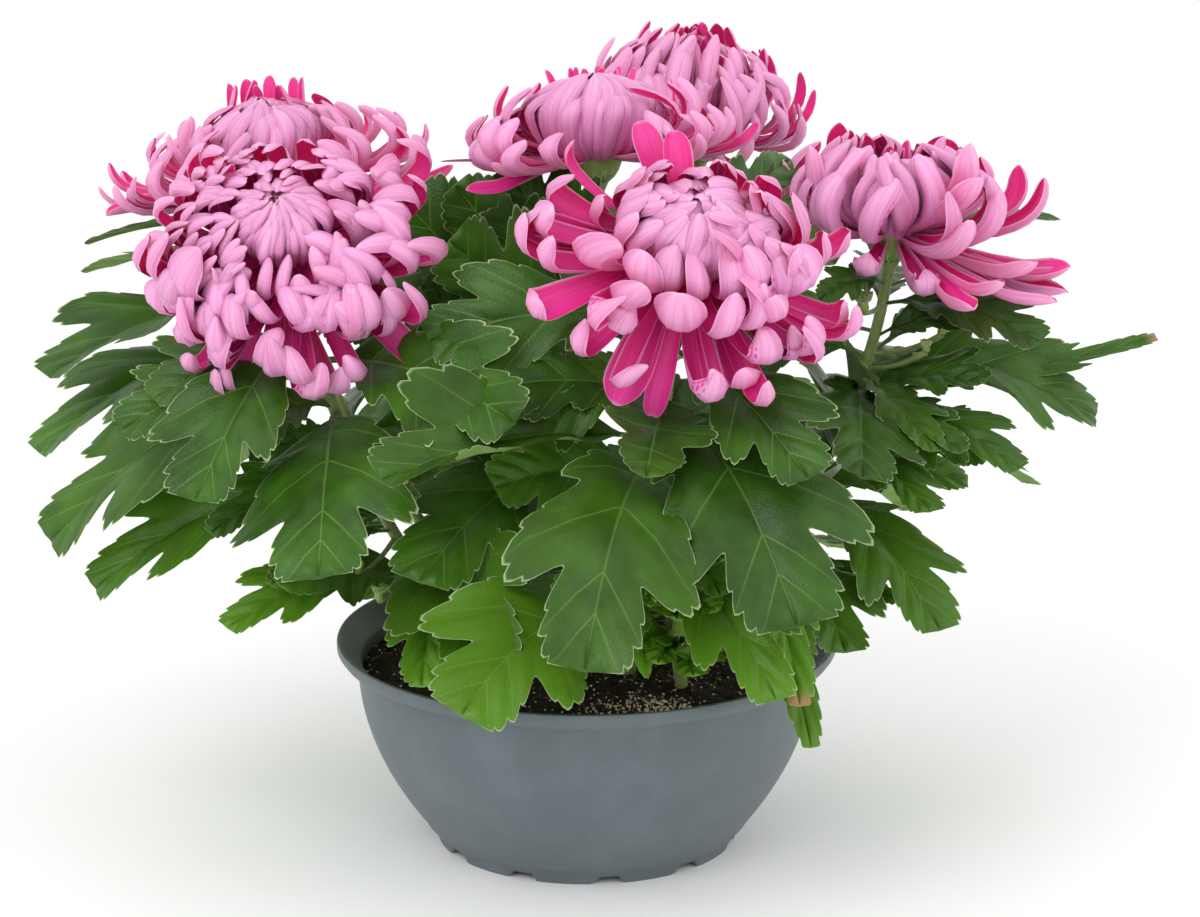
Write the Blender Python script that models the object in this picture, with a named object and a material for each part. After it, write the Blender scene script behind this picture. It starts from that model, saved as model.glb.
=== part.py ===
"""A chrysanthemum with six large incurved blooms, in a round plastic bowl full of potting soil.

Metres, +Z up. The origin is on the bowl's axis at the level it stands on, and -Y is the side that
the plant is seen from. Each leafy stem, bloom, shoot, the soil and the bowl are one solid each.
"""

import math
import random

import bmesh
import bpy
from mathutils import Matrix, Vector
from mathutils.bvhtree import BVHTree

GAP = 0.0003  # clearance between pieces that rest on each other
GOLDEN_TURN = math.radians(137.5)  # between one leaf or petal and the next
UP = Vector((0.0, 0.0, 1.0))

# The bowl
SIDES = 33
SIDES_PER_FOOT = 3
FIRST_FOOT = math.radians(-98.4)
RIM_RADIUS = 0.120
RIM_INSIDE = 0.1175
BOWL_HEIGHT = 0.100
NECK_RADIUS = 0.1105
NECK_HEIGHT = 0.0895
LIP_STEP = (0.1172, 0.0925)  # radius and height of the outward step between the neck and the rim
RIM_FOOT = 0.0965
WALL = 0.0018
BELLY_TOP = 0.088
BELLY_RADIUS = 0.110
BELLY_DEPTH = 0.083
BELLY_NARROWING = 0.036
BELLY_HEIGHTS = (0.006, 0.022, 0.044, 0.068)
INNER_HEIGHTS = (0.032, 0.060)
INNER_NECK = 0.0910
FOOT_HEIGHT = 0.0035
FOOT_OUTSIDE = 0.0725
FOOT_INSIDE = 0.0640
UNDERSIDE = 0.0045
FLOOR_TOP = 0.0070
DRAIN_HOLES = 5
DRAIN_RADIUS = 0.0045
DRAIN_SIDES = 8
DRAIN_RING = 0.044
DRAIN_OVERCUT = 0.002

# The soil
SOIL_GAP = 0.00045  # to the bowl's wall
SOIL_LEVEL = 0.084
SOIL_CROWN = 0.009
SOIL_LUMPS = 0.0014
SOIL_RINGS = (0.80, 0.45)
HOLE_FLOOR = 0.060
HOLE_TOP = 0.110

# The stems
STEM_RADIUS = 0.0030
STEM_SIDES = 6
STEM_STEPS = 6
STEM_RISE = 0.085  # how far a stem's first handle stands above the soil
STEM_START = 0.097  # where a stem leaves its upright hole, just above the soil
STEM_TOP = 1.3  # the stem's tube ends this many calyx lengths under the bloom
PEDUNCLE = 0.045  # last stretch of a stem, in line with its bloom
LONGEST_HANDLE = 0.4  # of either handle, as a share of the stem's height
CALYX_RADII = (0.0033, 0.0075, 0.0090)
CALYX_HEIGHTS = (0.011, 0.006, 0.0)

# How leaves stand
CROWN_AXIS = Vector((0.0, 0.010, 0.0))
FACE_OUT = 0.55
FACE_UP = 0.85
BACK_EDGE = 0.08  # leaves with their tips in front of this turn to the front, the rest to the back
LIGHT_TURN = 0.55
LEAF_FOLD = (0.10, 0.30)
LEAF_WAVE = (0.02, 0.05)
LEAF_TRIES = 48
LEAF_BEND = 0.0012  # further off at each try, until a leaf is clear of the others

# The leaves
PETIOLE_SHARE = 0.15  # of a leaf's whole length
PETIOLE_HALF_WIDTH = 0.0016
VEIN_ANGLE = math.radians(75)  # of the side vein at the blade's foot
VEIN_ANGLE_LOSS = math.radians(38)  # less at the blade's tip
COMMON_WIDTH = 0.62  # of the outline below, as a share of its length

# The outline of half a leaf. A point is given by where its side vein leaves the midrib, the vein's
# length, both in blade lengths, and the midrib point that it is joined to
LOBED_OUTLINE = (
    (0.00, 0.03, 0), (0.18, 0.24, 1), (0.29, 0.29, 2), (0.33, 0.13, 2), (0.42, 0.36, 3),
    (0.55, 0.36, 4), (0.60, 0.14, 4), (0.74, 0.22, 5), (0.88, 0.13, 6),
)
LOBED_MIDRIB = (0.0, 0.15, 0.30, 0.44, 0.57, 0.74, 0.88)
PLAIN_OUTLINE = (
    (0.00, 0.03, 0), (0.20, 0.26, 1), (0.33, 0.17, 2), (0.45, 0.34, 2), (0.60, 0.18, 3),
    (0.72, 0.22, 3),
)
PLAIN_MIDRIB = (0.0, 0.16, 0.36, 0.62)
BLADE_HALF_THICKNESS = (0.0010, 0.0006)  # at the midrib, at the foot and at the tip

# The buds
BUD_SIDES = 5
BUD_STALK = 0.0011
BUD_SAG = 0.15
BUD_SECTIONS = ((0.45, -0.95), (1.0, -0.1), (0.7, 0.7))  # width and height, in the bud's radii

# The petals
PETAL_STATIONS = (0.0, 0.36, 0.68, 0.90, 1.0)
PETAL_WIDTHS = (0.36, 0.80, 1.0, 0.72, 0.0)
LEAN_STATIONS = (0.0, 0.45, 0.80, 1.0)
PETAL_KEEL = 0.0012
PETAL_RIM = 0.0008  # how far a petal's edges stand above its middle
PETAL_ROOT = 0.005  # from the bloom's axis
PETAL_STEPS = 40
PETAL_TURN = 0.10  # most that a petal is turned out of its even place, in radians
PETAL_BEND = 10  # most that a petal's lean differs from its ring's, in degrees
PETAL_REACH = (0.92, 1.05)
CLEAR_SHARES = (1.0, 0.93, 0.86, 0.79, 0.72, 0.65, 0.58)  # a petal shortens until it meets nothing

# The ball of incurved petals in the middle of a bloom, as ridges raised from one round body. Each
# level is its angle above the ball's middle, then the reach there of the outer layer's petals and
# of the inner layer's, which come between them, as shares of the ball's radius
BALL_PETALS = 10
BALL_FOOT = -72
BALL_LEVELS = (
    (-72, 1.00, 1.00), (-36, 1.00, 0.88), (6, 1.01, 0.87), (52, 0.98, 0.89), (59, 0.86, 0.94),
    (76, 0.80, 0.88),
)
BALL_CROWN = 0.80
BALL_SWIRL = math.radians(14)

# Each stem: its foot in the soil, the seat of its bloom, the bloom's axis, and how early it leans
STEMS = {
    "back_left": ((-0.040, 0.045), (-0.155, 0.101, 0.300), (-0.10, -0.05, 0.99), 0.85),
    "front_left": ((-0.050, -0.015), (-0.137, -0.028, 0.295), (-0.05, -0.70, 0.71), 0.77),
    "back_right": ((0.015, 0.055), (0.056, 0.125, 0.316), (0.02, 0.00, 1.00), 0.50),
    "middle": ((-0.005, 0.010), (0.005, 0.024, 0.325), (-0.05, 0.10, 0.99), 0.40),
    "front": ((0.020, -0.045), (0.045, -0.066, 0.297), (0.10, -0.60, 0.79), 0.40),
    "right": ((0.055, 0.005), (0.144, 0.020, 0.288), (0.02, -0.05, 1.00), 0.75),
    "young": ((0.044, -0.072), (0.036, -0.090, 0.152), (-0.10, -0.30, 0.95), 0.30),
}

# The unopened buds of a stem: how far up it they branch off, where they stand, and their radius
BUDS = {
    "right": [
        (0.80, (0.130, 0.000, 0.264), 0.0065),
        (0.62, (0.160, -0.002, 0.243), 0.0040),
        (0.66, (0.168, 0.006, 0.250), 0.0045),
        (0.58, (0.157, 0.010, 0.234), 0.0035),
    ],
    "front_left": [
        (0.20, (-0.096, -0.060, 0.140), 0.0050),
        (0.24, (-0.106, -0.054, 0.150), 0.0040),
    ],
    "young": [
        (0.60, (0.022, -0.094, 0.140), 0.0040),
    ],
}

# Each leaf: how far up its stem it grows, where its tip reaches, its width and its arch as shares
# of its length, its roll about the midrib in degrees, and its outline
LOBED = (LOBED_OUTLINE, LOBED_MIDRIB)
PLAIN = (PLAIN_OUTLINE, PLAIN_MIDRIB)
LEAVES = {
    "front": [
        (0.42, (-0.001, -0.185, 0.143), 0.66, 0.18, 0, LOBED),
        (0.55, (0.092, -0.160, 0.155), 0.80, 0.15, 0, LOBED),
        (0.10, (-0.055, -0.165, 0.116), 0.60, 0.15, 0, LOBED),
        (0.48, (-0.091, -0.120, 0.210), 0.46, 0.08, 20, LOBED),
        (0.62, (0.044, -0.170, 0.236), 0.70, 0.15, 0, PLAIN),
        (0.78, (-0.072, -0.060, 0.259), 0.60, 0.08, 0, LOBED),
        (0.75, (0.094, -0.120, 0.229), 0.66, 0.10, 0, LOBED),
        (0.15, (0.083, -0.160, 0.121), 0.45, 0.20, 0, LOBED),
        (0.20, (0.017, -0.120, 0.136), 0.75, 0.10, 0, PLAIN),
        (0.92, (0.097, 0.040, 0.324), 0.45, 0.05, 0, PLAIN),
        (0.58, (-0.055, -0.085, 0.240), 0.60, 0.08, 0, PLAIN),
        (0.30, (0.060, -0.115, 0.155), 0.60, 0.12, 0, PLAIN),
    ],
    "front_left": [
        (0.50, (-0.119, -0.130, 0.168), 0.80, 0.12, 0, LOBED),
        (0.52, (-0.261, -0.010, 0.143), 0.56, 0.18, 5, LOBED),
        (0.62, (-0.032, -0.100, 0.231), 0.60, 0.08, 0, LOBED),
        (0.20, (-0.043, -0.130, 0.126), 0.70, 0.18, 0, LOBED),
        (0.72, (-0.176, -0.095, 0.194), 0.70, 0.10, 0, LOBED),
        (0.38, (-0.173, -0.060, 0.168), 0.58, 0.10, 0, PLAIN),
        (0.30, (-0.236, -0.020, 0.122), 0.42, 0.15, 0, LOBED),
        (0.15, (-0.165, -0.075, 0.127), 0.46, 0.12, 10, LOBED),
        (0.10, (-0.074, -0.120, 0.114), 0.56, 0.15, 0, PLAIN),
        (0.25, (-0.145, -0.070, 0.146), 0.50, 0.10, 0, PLAIN),
    ],
    "right": [
        (0.55, (0.275, 0.040, 0.237), 0.22, -0.02, 0, PLAIN),
        (0.50, (0.201, -0.040, 0.193), 0.50, 0.12, 0, LOBED),
        (0.62, (0.244, 0.020, 0.202), 0.66, 0.12, 0, LOBED),
        (0.80, (0.203, -0.030, 0.247), 0.70, 0.12, 0, LOBED),
        (0.40, (0.156, -0.080, 0.184), 0.44, 0.10, 0, LOBED),
        (0.30, (0.163, -0.070, 0.124), 0.60, 0.15, 0, LOBED),
        (0.70, (0.137, -0.090, 0.214), 0.52, 0.10, 0, LOBED),
        (0.20, (0.118, -0.090, 0.120), 0.58, 0.12, 0, LOBED),
        (0.60, (0.160, -0.050, 0.229), 0.55, 0.10, 0, PLAIN),
        (0.85, (0.233, 0.060, 0.255), 0.40, 0.10, 0, PLAIN),
        (0.92, (0.231, 0.090, 0.285), 0.36, 0.08, 0, PLAIN),
        (0.86, (0.107, -0.040, 0.274), 0.46, 0.08, 0, PLAIN),
        (0.15, (0.145, -0.040, 0.128), 0.34, 0.10, 0, PLAIN),
        (0.48, (0.085, -0.085, 0.205), 0.55, 0.10, 0, PLAIN),
        (0.10, (0.094, -0.150, 0.115), 0.32, 0.20, 0, PLAIN),
        (0.05, (0.100, -0.140, 0.092), 0.28, 0.25, 0, PLAIN),
        (0.25, (0.160, 0.110, 0.130), 0.55, 0.15, 0, PLAIN),
        (0.35, (0.220, 0.090, 0.150), 0.50, 0.15, 0, LOBED),
        (0.45, (0.120, 0.130, 0.195), 0.60, 0.10, 0, LOBED),
        (0.65, (0.210, 0.120, 0.225), 0.50, 0.10, 0, PLAIN),
        (0.75, (0.150, 0.120, 0.255), 0.50, 0.10, 0, PLAIN),
    ],
    "middle": [
        (0.60, (-0.038, 0.030, 0.323), 0.56, 0.05, 0, LOBED),
        (0.70, (-0.012, -0.020, 0.326), 0.56, 0.05, 0, LOBED),
        (0.40, (-0.063, -0.030, 0.305), 0.52, 0.05, 0, LOBED),
        (0.50, (-0.039, -0.090, 0.230), 0.56, 0.10, 0, PLAIN),
        (0.30, (-0.075, -0.110, 0.160), 0.60, 0.12, 0, LOBED),
        (0.55, (0.070, -0.060, 0.262), 0.60, 0.08, 0, PLAIN),
        (0.35, (-0.085, 0.115, 0.185), 0.62, 0.12, 0, LOBED),
        (0.62, (-0.070, 0.095, 0.255), 0.55, 0.10, 0, PLAIN),
        (0.45, (0.075, 0.085, 0.225), 0.60, 0.12, 0, PLAIN),
        (0.20, (0.030, 0.110, 0.150), 0.60, 0.15, 0, PLAIN),
        (0.15, (-0.075, 0.030, 0.135), 0.60, 0.15, 0, PLAIN),
    ],
    "back_left": [
        (0.50, (-0.272, 0.040, 0.172), 0.50, 0.20, -10, LOBED),
        (0.62, (-0.262, 0.030, 0.210), 0.60, 0.14, 0, LOBED),
        (0.70, (-0.073, 0.000, 0.270), 0.56, 0.05, 0, LOBED),
        (0.40, (-0.234, 0.090, 0.158), 0.50, 0.15, 0, PLAIN),
        (0.85, (-0.244, 0.070, 0.277), 0.42, 0.08, 0, PLAIN),
        (0.75, (-0.251, 0.110, 0.254), 0.42, 0.08, 0, PLAIN),
        (0.15, (-0.120, 0.140, 0.120), 0.60, 0.15, 0, PLAIN),
        (0.25, (-0.200, 0.130, 0.140), 0.52, 0.15, 0, LOBED),
        (0.35, (-0.130, 0.180, 0.165), 0.60, 0.12, 0, PLAIN),
        (0.55, (-0.100, 0.175, 0.215), 0.60, 0.10, 0, LOBED),
        (0.30, (-0.060, 0.150, 0.155), 0.60, 0.12, 0, PLAIN),
        (0.65, (-0.220, 0.150, 0.225), 0.50, 0.10, 0, PLAIN),
        (0.80, (-0.140, 0.182, 0.262), 0.50, 0.08, 0, PLAIN),
        (0.72, (-0.060, 0.130, 0.250), 0.50, 0.10, 0, PLAIN),
    ],
    "young": [
        (0.35, (0.082, -0.108, 0.128), 0.70, 0.14, 0, PLAIN),
        (0.45, (0.014, -0.122, 0.124), 0.70, 0.14, 0, PLAIN),
        (0.70, (0.058, -0.122, 0.146), 0.75, 0.10, 0, PLAIN),
        (0.80, (0.052, -0.062, 0.160), 0.70, 0.10, 0, PLAIN),
    ],
    "back_right": [
        (0.12, (0.050, 0.165, 0.120), 0.55, 0.15, 0, PLAIN),
        (0.20, (-0.060, 0.160, 0.130), 0.60, 0.15, 0, PLAIN),
        (0.30, (0.120, 0.160, 0.150), 0.60, 0.15, 0, LOBED),
        (0.40, (0.020, 0.185, 0.170), 0.62, 0.15, 0, PLAIN),
        (0.50, (-0.050, 0.170, 0.205), 0.60, 0.12, 0, LOBED),
        (0.58, (0.130, 0.150, 0.210), 0.60, 0.12, 0, LOBED),
        (0.66, (0.060, 0.185, 0.225), 0.55, 0.12, 0, PLAIN),
        (0.76, (-0.020, 0.155, 0.265), 0.55, 0.08, 0, PLAIN),
        (0.84, (0.140, 0.110, 0.275), 0.50, 0.08, 0, PLAIN),
        (0.88, (0.035, 0.184, 0.290), 0.50, 0.08, 0, PLAIN),
    ],
}

# Each bloom: the radius and the flatness of its ball of incurved petals, the rings of petals that
# open round it, and its odd petals. A ring is the number of petals, their length and width, how
# high they root, and their lean at LEAN_STATIONS (0 straight out, 90 along the bloom's axis, more
# leans back over the ball). An odd petal is its bearing round the axis, then the same
BLOOMS = {
    "front": (0.031, 0.82, [
        (7, 0.062, 0.0220, 0.011, (28, 40, 90, 165)),
        (7, 0.074, 0.0230, 0.007, (8, -8, 10, 120)),
        (6, 0.076, 0.0220, 0.003, (0, -40, -45, 40)),
    ], [
        (104, 0.064, 0.0180, 0.008, (35, 62, 72, 76)),
        (122, 0.066, 0.0170, 0.008, (35, 55, 66, 60)),
    ]),
    "front_left": (0.026, 0.90, [
        (8, 0.056, 0.0190, 0.011, (32, 52, 105, 170)),
        (8, 0.070, 0.0200, 0.007, (12, 0, 40, 150)),
        (7, 0.074, 0.0200, 0.003, (0, -38, -30, 70)),
    ], [
        (318, 0.078, 0.0170, 0.004, (0, -25, -30, -25)),
    ]),
    "back_left": (0.035, 0.66, [
        (7, 0.062, 0.0210, 0.010, (20, 38, 85, 150)),
        (8, 0.072, 0.0210, 0.006, (6, 8, 30, 90)),
        (6, 0.074, 0.0200, 0.003, (0, -10, 0, 55)),
    ], [
        (196, 0.078, 0.0170, 0.004, (0, 0, 5, 5)),
    ]),
    "back_right": (0.029, 0.95, [
        (7, 0.058, 0.0210, 0.011, (30, 50, 95, 150)),
        (7, 0.062, 0.0220, 0.006, (12, 20, 50, 105)),
        (6, 0.062, 0.0210, 0.003, (2, -5, 10, 65)),
    ], []),
    "middle": (0.032, 0.66, [
        (7, 0.056, 0.0210, 0.009, (20, 38, 85, 150)),
        (7, 0.060, 0.0220, 0.006, (8, 14, 45, 105)),
        (6, 0.060, 0.0200, 0.003, (2, -5, 10, 55)),
    ], []),
    "right": (0.030, 0.92, [
        (7, 0.062, 0.0230, 0.010, (25, 50, 95, 150)),
        (7, 0.070, 0.0230, 0.006, (10, 22, 45, 85)),
        (5, 0.070, 0.0220, 0.003, (2, -25, -20, 40)),
    ], [
        (12, 0.072, 0.0150, 0.010, (40, 45, 75, 95)),
    ]),
}


def clear_scene():
    """Starts from an empty scene."""
    for thing in list(bpy.data.objects):
        bpy.data.objects.remove(thing, do_unlink=True)


def finish(name, colour, roughness):
    """A plain Principled BSDF with the part's own colour."""
    material = bpy.data.materials.new(name)
    material.use_nodes = True
    shader = material.node_tree.nodes["Principled BSDF"]
    shader.inputs["Base Color"].default_value = (*colour, 1.0)
    shader.inputs["Roughness"].default_value = roughness
    shader.inputs["Metallic"].default_value = 0.0
    return material


def add_object(name, mesh, material, place, parent):
    """Links a mesh, made in world places, as an object with its own origin and turn."""
    thing = bpy.data.objects.new(name, mesh)
    bpy.context.scene.collection.objects.link(thing)
    mesh.transform(place.inverted())
    mesh.materials.clear()
    mesh.materials.append(material)
    thing.parent = parent
    thing.matrix_basis = place


def closed_mesh(name, points, faces):
    """A mesh of triangles that all face outwards."""
    mesh = bpy.data.meshes.new(name)
    mesh.from_pydata([tuple(point) for point in points], [], faces)
    shape = bmesh.new()
    shape.from_mesh(mesh)
    bmesh.ops.triangulate(shape, faces=shape.faces)
    bmesh.ops.recalc_face_normals(shape, faces=shape.faces)
    shape.to_mesh(mesh)
    shape.free()
    return mesh


def loft(name, rings):
    """A solid skinned over rings of points. A ring of one point closes an end to a tip."""
    points = []
    starts = []
    for ring in rings:
        starts.append(len(points))
        points.extend(ring)
    faces = []
    for lower in range(len(rings) - 1):
        here, there = starts[lower], starts[lower + 1]
        count = max(len(rings[lower]), len(rings[lower + 1]))
        for side in range(count):
            following = (side + 1) % count
            if len(rings[lower]) == 1:
                faces.append((here, there + following, there + side))
            elif len(rings[lower + 1]) == 1:
                faces.append((here + side, here + following, there))
            else:
                faces.append((here + side, here + following, there + following))
                faces.append((here + side, there + following, there + side))
    for end, ring in ((0, rings[0]), (len(rings) - 1, rings[-1])):
        if len(ring) > 1:
            faces.append(tuple(range(starts[end], starts[end] + len(ring))))
    return closed_mesh(name, points, faces)


def largest_body(mesh):
    """Keeps the one outer skin: sealed hollows are filled and loose scraps dropped."""
    shape = bmesh.new()
    shape.from_mesh(mesh)
    unseen = set(shape.faces)
    bodies = []
    while unseen:
        front = [unseen.pop()]
        body = list(front)
        while front:
            face = front.pop()
            for edge in face.edges:
                for other in edge.link_faces:
                    if other in unseen:
                        unseen.discard(other)
                        front.append(other)
                        body.append(other)
        bodies.append(body)
    bodies.sort(key=len)
    for body in bodies[:-1]:
        bmesh.ops.delete(shape, geom=body, context="FACES")
    bmesh.ops.triangulate(shape, faces=shape.faces)
    shape.to_mesh(mesh)
    shape.free()


def fuse(name, shapes):
    """Joins closed shapes that grow together into one solid, by one Boolean union."""
    trunk = bpy.data.objects.new(name, shapes[0])
    bpy.context.scene.collection.objects.link(trunk)
    growths = bpy.data.collections.new(name)
    bpy.context.scene.collection.children.link(growths)
    for shape in shapes[1:]:
        growths.objects.link(bpy.data.objects.new(shape.name, shape))
    union = trunk.modifiers.new("grown together", "BOOLEAN")
    union.operation = "UNION"
    union.operand_type = "COLLECTION"
    union.collection = growths
    union.solver = "MANIFOLD"
    view = bpy.context.evaluated_depsgraph_get()
    solid = bpy.data.meshes.new_from_object(trunk.evaluated_get(view))
    for growth in list(growths.objects):
        bpy.data.objects.remove(growth, do_unlink=True)
    bpy.data.collections.remove(growths)
    bpy.data.objects.remove(trunk, do_unlink=True)
    largest_body(solid)
    solid.name = name
    return solid


def surface_tree(mesh):
    """The mesh's triangles, ready to be tested against another's."""
    corners = [vertex.co.copy() for vertex in mesh.vertices]
    return BVHTree.FromPolygons(corners, [tuple(face.vertices) for face in mesh.polygons])


def circle(radius, height, sides, start=0.0):
    """The corners of a level ring round the bowl's axis."""
    turn = 2 * math.pi / sides
    return [
        Vector((radius * math.cos(angle), radius * math.sin(angle), height))
        for angle in (start + turn * side for side in range(sides))
    ]


def belly_radius(height):
    """The bowl's outer radius below its lip."""
    fall = (BELLY_TOP - height) / BELLY_DEPTH
    return BELLY_RADIUS - BELLY_NARROWING * fall * fall


def between(stations, values, share):
    """Straight-line reading of a value from its stations."""
    for index in range(len(stations) - 1):
        if share <= stations[index + 1]:
            part = (share - stations[index]) / (stations[index + 1] - stations[index])
            return values[index] + part * (values[index + 1] - values[index])
    return values[-1]


def inner_profile():
    """The inside of the bowl from its floor up to its neck, as radius and height."""
    profile = [(belly_radius(FLOOR_TOP) - 2 * WALL, FLOOR_TOP)]
    profile += [(belly_radius(height) - WALL, height) for height in INNER_HEIGHTS]
    profile.append((NECK_RADIUS - WALL, INNER_NECK))
    return profile


def foot_ring(radius):
    """A ring under the bowl that touches the ground at each foot and is lifted between feet."""
    start = FIRST_FOOT - math.pi / SIDES
    ring = circle(radius, 0.0, SIDES, start)
    for side, corner in enumerate(ring):
        if side % SIDES_PER_FOOT == SIDES_PER_FOOT - 1:
            corner.z = FOOT_HEIGHT
    return ring


def bowl_mesh():
    """The thin plastic bowl: feet, belly, flared lip, and the same belly again inside."""
    start = FIRST_FOOT - math.pi / SIDES
    profile = [(belly_radius(height), height) for height in BELLY_HEIGHTS]
    profile += [
        (NECK_RADIUS, NECK_HEIGHT),
        LIP_STEP,
        (RIM_RADIUS, RIM_FOOT),
        (RIM_RADIUS, BOWL_HEIGHT),
        (RIM_INSIDE, BOWL_HEIGHT),
    ]
    profile += reversed(inner_profile())
    rings = [[Vector((0, 0, UNDERSIDE))], circle(FOOT_INSIDE, UNDERSIDE, SIDES, start)]
    rings += [foot_ring(FOOT_INSIDE), foot_ring(FOOT_OUTSIDE)]
    rings += [circle(radius, height, SIDES, start) for radius, height in profile]
    rings.append([Vector((0, 0, FLOOR_TOP))])
    return loft("bowl", rings)


def cut(mesh, cutters):
    """Takes each cutter's shape out of a mesh."""
    body = bpy.data.objects.new("body", mesh)
    bpy.context.scene.collection.objects.link(body)
    tools = []
    for cutter in cutters:
        tool = bpy.data.objects.new("cutter", cutter)
        bpy.context.scene.collection.objects.link(tool)
        bite = body.modifiers.new("hole", "BOOLEAN")
        bite.operation = "DIFFERENCE"
        bite.solver = "EXACT"
        bite.object = tool
        tools.append(tool)
    view = bpy.context.evaluated_depsgraph_get()
    result = bpy.data.meshes.new_from_object(body.evaluated_get(view))
    for thing in tools + [body]:
        bpy.data.objects.remove(thing, do_unlink=True)
    return result


def drain_cutters():
    """Posts where the drainage holes go."""
    cutters = []
    for hole in range(DRAIN_HOLES):
        bearing = 2 * math.pi * hole / DRAIN_HOLES
        middle = Vector((DRAIN_RING * math.cos(bearing), DRAIN_RING * math.sin(bearing), 0))
        rings = [
            [corner + middle for corner in circle(DRAIN_RADIUS, height, DRAIN_SIDES)]
            for height in (UNDERSIDE - DRAIN_OVERCUT, FLOOR_TOP + DRAIN_OVERCUT)
        ]
        cutters.append(loft("drain", rings))
    return cutters


def soil_mesh():
    """Potting soil: it fills the bowl to just under the lip, and rises a little to the middle."""
    draw = random.Random(5)
    start = FIRST_FOOT - math.pi / SIDES
    radii, heights = zip(*inner_profile())
    rings = [[Vector((0, 0, FLOOR_TOP + GAP))]]
    for height in (FLOOR_TOP, *INNER_HEIGHTS, SOIL_LEVEL):
        radius = between(heights, radii, height) - SOIL_GAP
        rings.append(circle(radius, max(height, FLOOR_TOP + GAP), SIDES, start))
    for share in SOIL_RINGS:
        height = SOIL_LEVEL + SOIL_CROWN * (1 - share * share)
        ring = circle(radius * share, height, SIDES, start)
        for corner in ring:
            corner.z += draw.uniform(-SOIL_LUMPS, SOIL_LUMPS)
        rings.append(ring)
    rings.append([Vector((0, 0, SOIL_LEVEL + SOIL_CROWN))])
    return loft("soil", rings)


def stem_point(name, share):
    """A point on a stem's middle line, from the soil (0) to the seat of the bloom (1)."""
    foot, seat, axis, lean = STEMS[name]
    low = Vector((foot[0], foot[1], STEM_START))
    high = Vector(seat)
    longest = LONGEST_HANDLE * (high.z - low.z)
    rise = min(STEM_RISE, longest)
    first = low + Vector((lean * (high.x - low.x), lean * (high.y - low.y), rise))
    second = high - min(PEDUNCLE, longest) * Vector(axis).normalized()
    rest = 1 - share
    return (rest**3 * low + 3 * rest * rest * share * first
            + 3 * rest * share * share * second + share**3 * high)


def across(direction, hint):
    """Two unit vectors square to a direction, the first of them lying nearest to the hint."""
    first = (hint - direction * hint.dot(direction)).normalized()
    return first, direction.cross(first)


def round_ring(centre, direction, radius, sides):
    """A ring of points round a line."""
    first, second = across(direction, Vector((1, 0, 0)))
    turn = 2 * math.pi / sides
    return [
        centre + radius * (math.cos(turn * side) * first + math.sin(turn * side) * second)
        for side in range(sides)
    ]


def stem_ring(foot, height, radius):
    """A level ring of a stem, or of its hole in the soil."""
    return round_ring(Vector((foot[0], foot[1], height)), UP, radius, STEM_SIDES)


def stem_mesh(name):
    """A round stem from its hole in the soil up to the green cup that carries the bloom."""
    foot, seat, axis, _ = STEMS[name]
    axis = Vector(axis).normalized()
    seat = Vector(seat)
    last = 1 - STEM_TOP * CALYX_HEIGHTS[0] / (seat.z - STEM_START)
    rings = [stem_ring(foot, height, STEM_RADIUS) for height in (HOLE_FLOOR + GAP, STEM_START)]
    for step in range(1, STEM_STEPS):
        share = last * step / STEM_STEPS
        here = stem_point(name, share)
        ahead = (stem_point(name, share + 0.02) - here).normalized()
        rings.append(round_ring(here, ahead, STEM_RADIUS, STEM_SIDES))
    if name in BLOOMS:
        for radius, height in zip(CALYX_RADII, CALYX_HEIGHTS):
            rings.append(round_ring(seat - axis * height, axis, radius, STEM_SIDES))
    else:
        rings.append([seat])
    return loft(name, rings)


def bloom_frame(name):
    """A bloom's own axes: X to the viewer's right, Z along its axis, origin on its seat."""
    _, seat, axis, _ = STEMS[name]
    axis = Vector(axis).normalized()
    right, back = across(axis, Vector((1, 0, 0)))
    turn = Matrix((right, back, axis)).transposed()
    return Matrix.Translation(seat) @ turn.to_4x4()


def petal_rings(bearing, length, width, root, leans):
    """The sections of an open petal: a shallow channel with a keel, curling as its leans say."""
    outward = Vector((math.cos(bearing), math.sin(bearing), 0))
    sideways = Vector((-math.sin(bearing), math.cos(bearing), 0))
    place = PETAL_ROOT * outward + Vector((0, 0, root))
    rings = []
    station = 0
    for step in range(PETAL_STEPS + 1):
        share = step / PETAL_STEPS
        lean = math.radians(between(LEAN_STATIONS, leans, share))
        ahead = math.cos(lean) * outward + math.sin(lean) * UP
        inward = math.cos(lean) * UP - math.sin(lean) * outward
        if share >= PETAL_STATIONS[station] - 1e-9:
            half = 0.5 * width * PETAL_WIDTHS[station]
            if half == 0:
                rings.append([place.copy()])
            else:
                rings.append([
                    place - half * sideways + PETAL_RIM * inward,
                    place - PETAL_KEEL * inward,
                    place + half * sideways + PETAL_RIM * inward,
                ])
            station += 1
        place = place + ahead * (length / PETAL_STEPS)
    return rings


def ball_rings(radius, flatness):
    """The ball of a bloom: one layer of petals closes over it, and the next shows at its crown."""
    turn = math.pi / BALL_PETALS
    foot = flatness * radius * math.sin(math.radians(BALL_FOOT))
    rings = []
    for level, outer, inner in BALL_LEVELS:
        angle = math.radians(level)
        swirl = BALL_SWIRL * (level - BALL_FOOT) / 180
        ring = []
        for column in range(2 * BALL_PETALS):
            reach = radius * (inner if column % 2 else outer)
            out = reach * math.cos(angle)
            bearing = column * turn + swirl
            height = flatness * reach * math.sin(angle) - foot + GAP
            ring.append(Vector((out * math.cos(bearing), out * math.sin(bearing), height)))
        rings.append(ring)
    for corner in rings[0]:
        corner.z = GAP
    rings.append([Vector((0, 0, flatness * radius * BALL_CROWN - foot + GAP))])
    return rings


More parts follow.
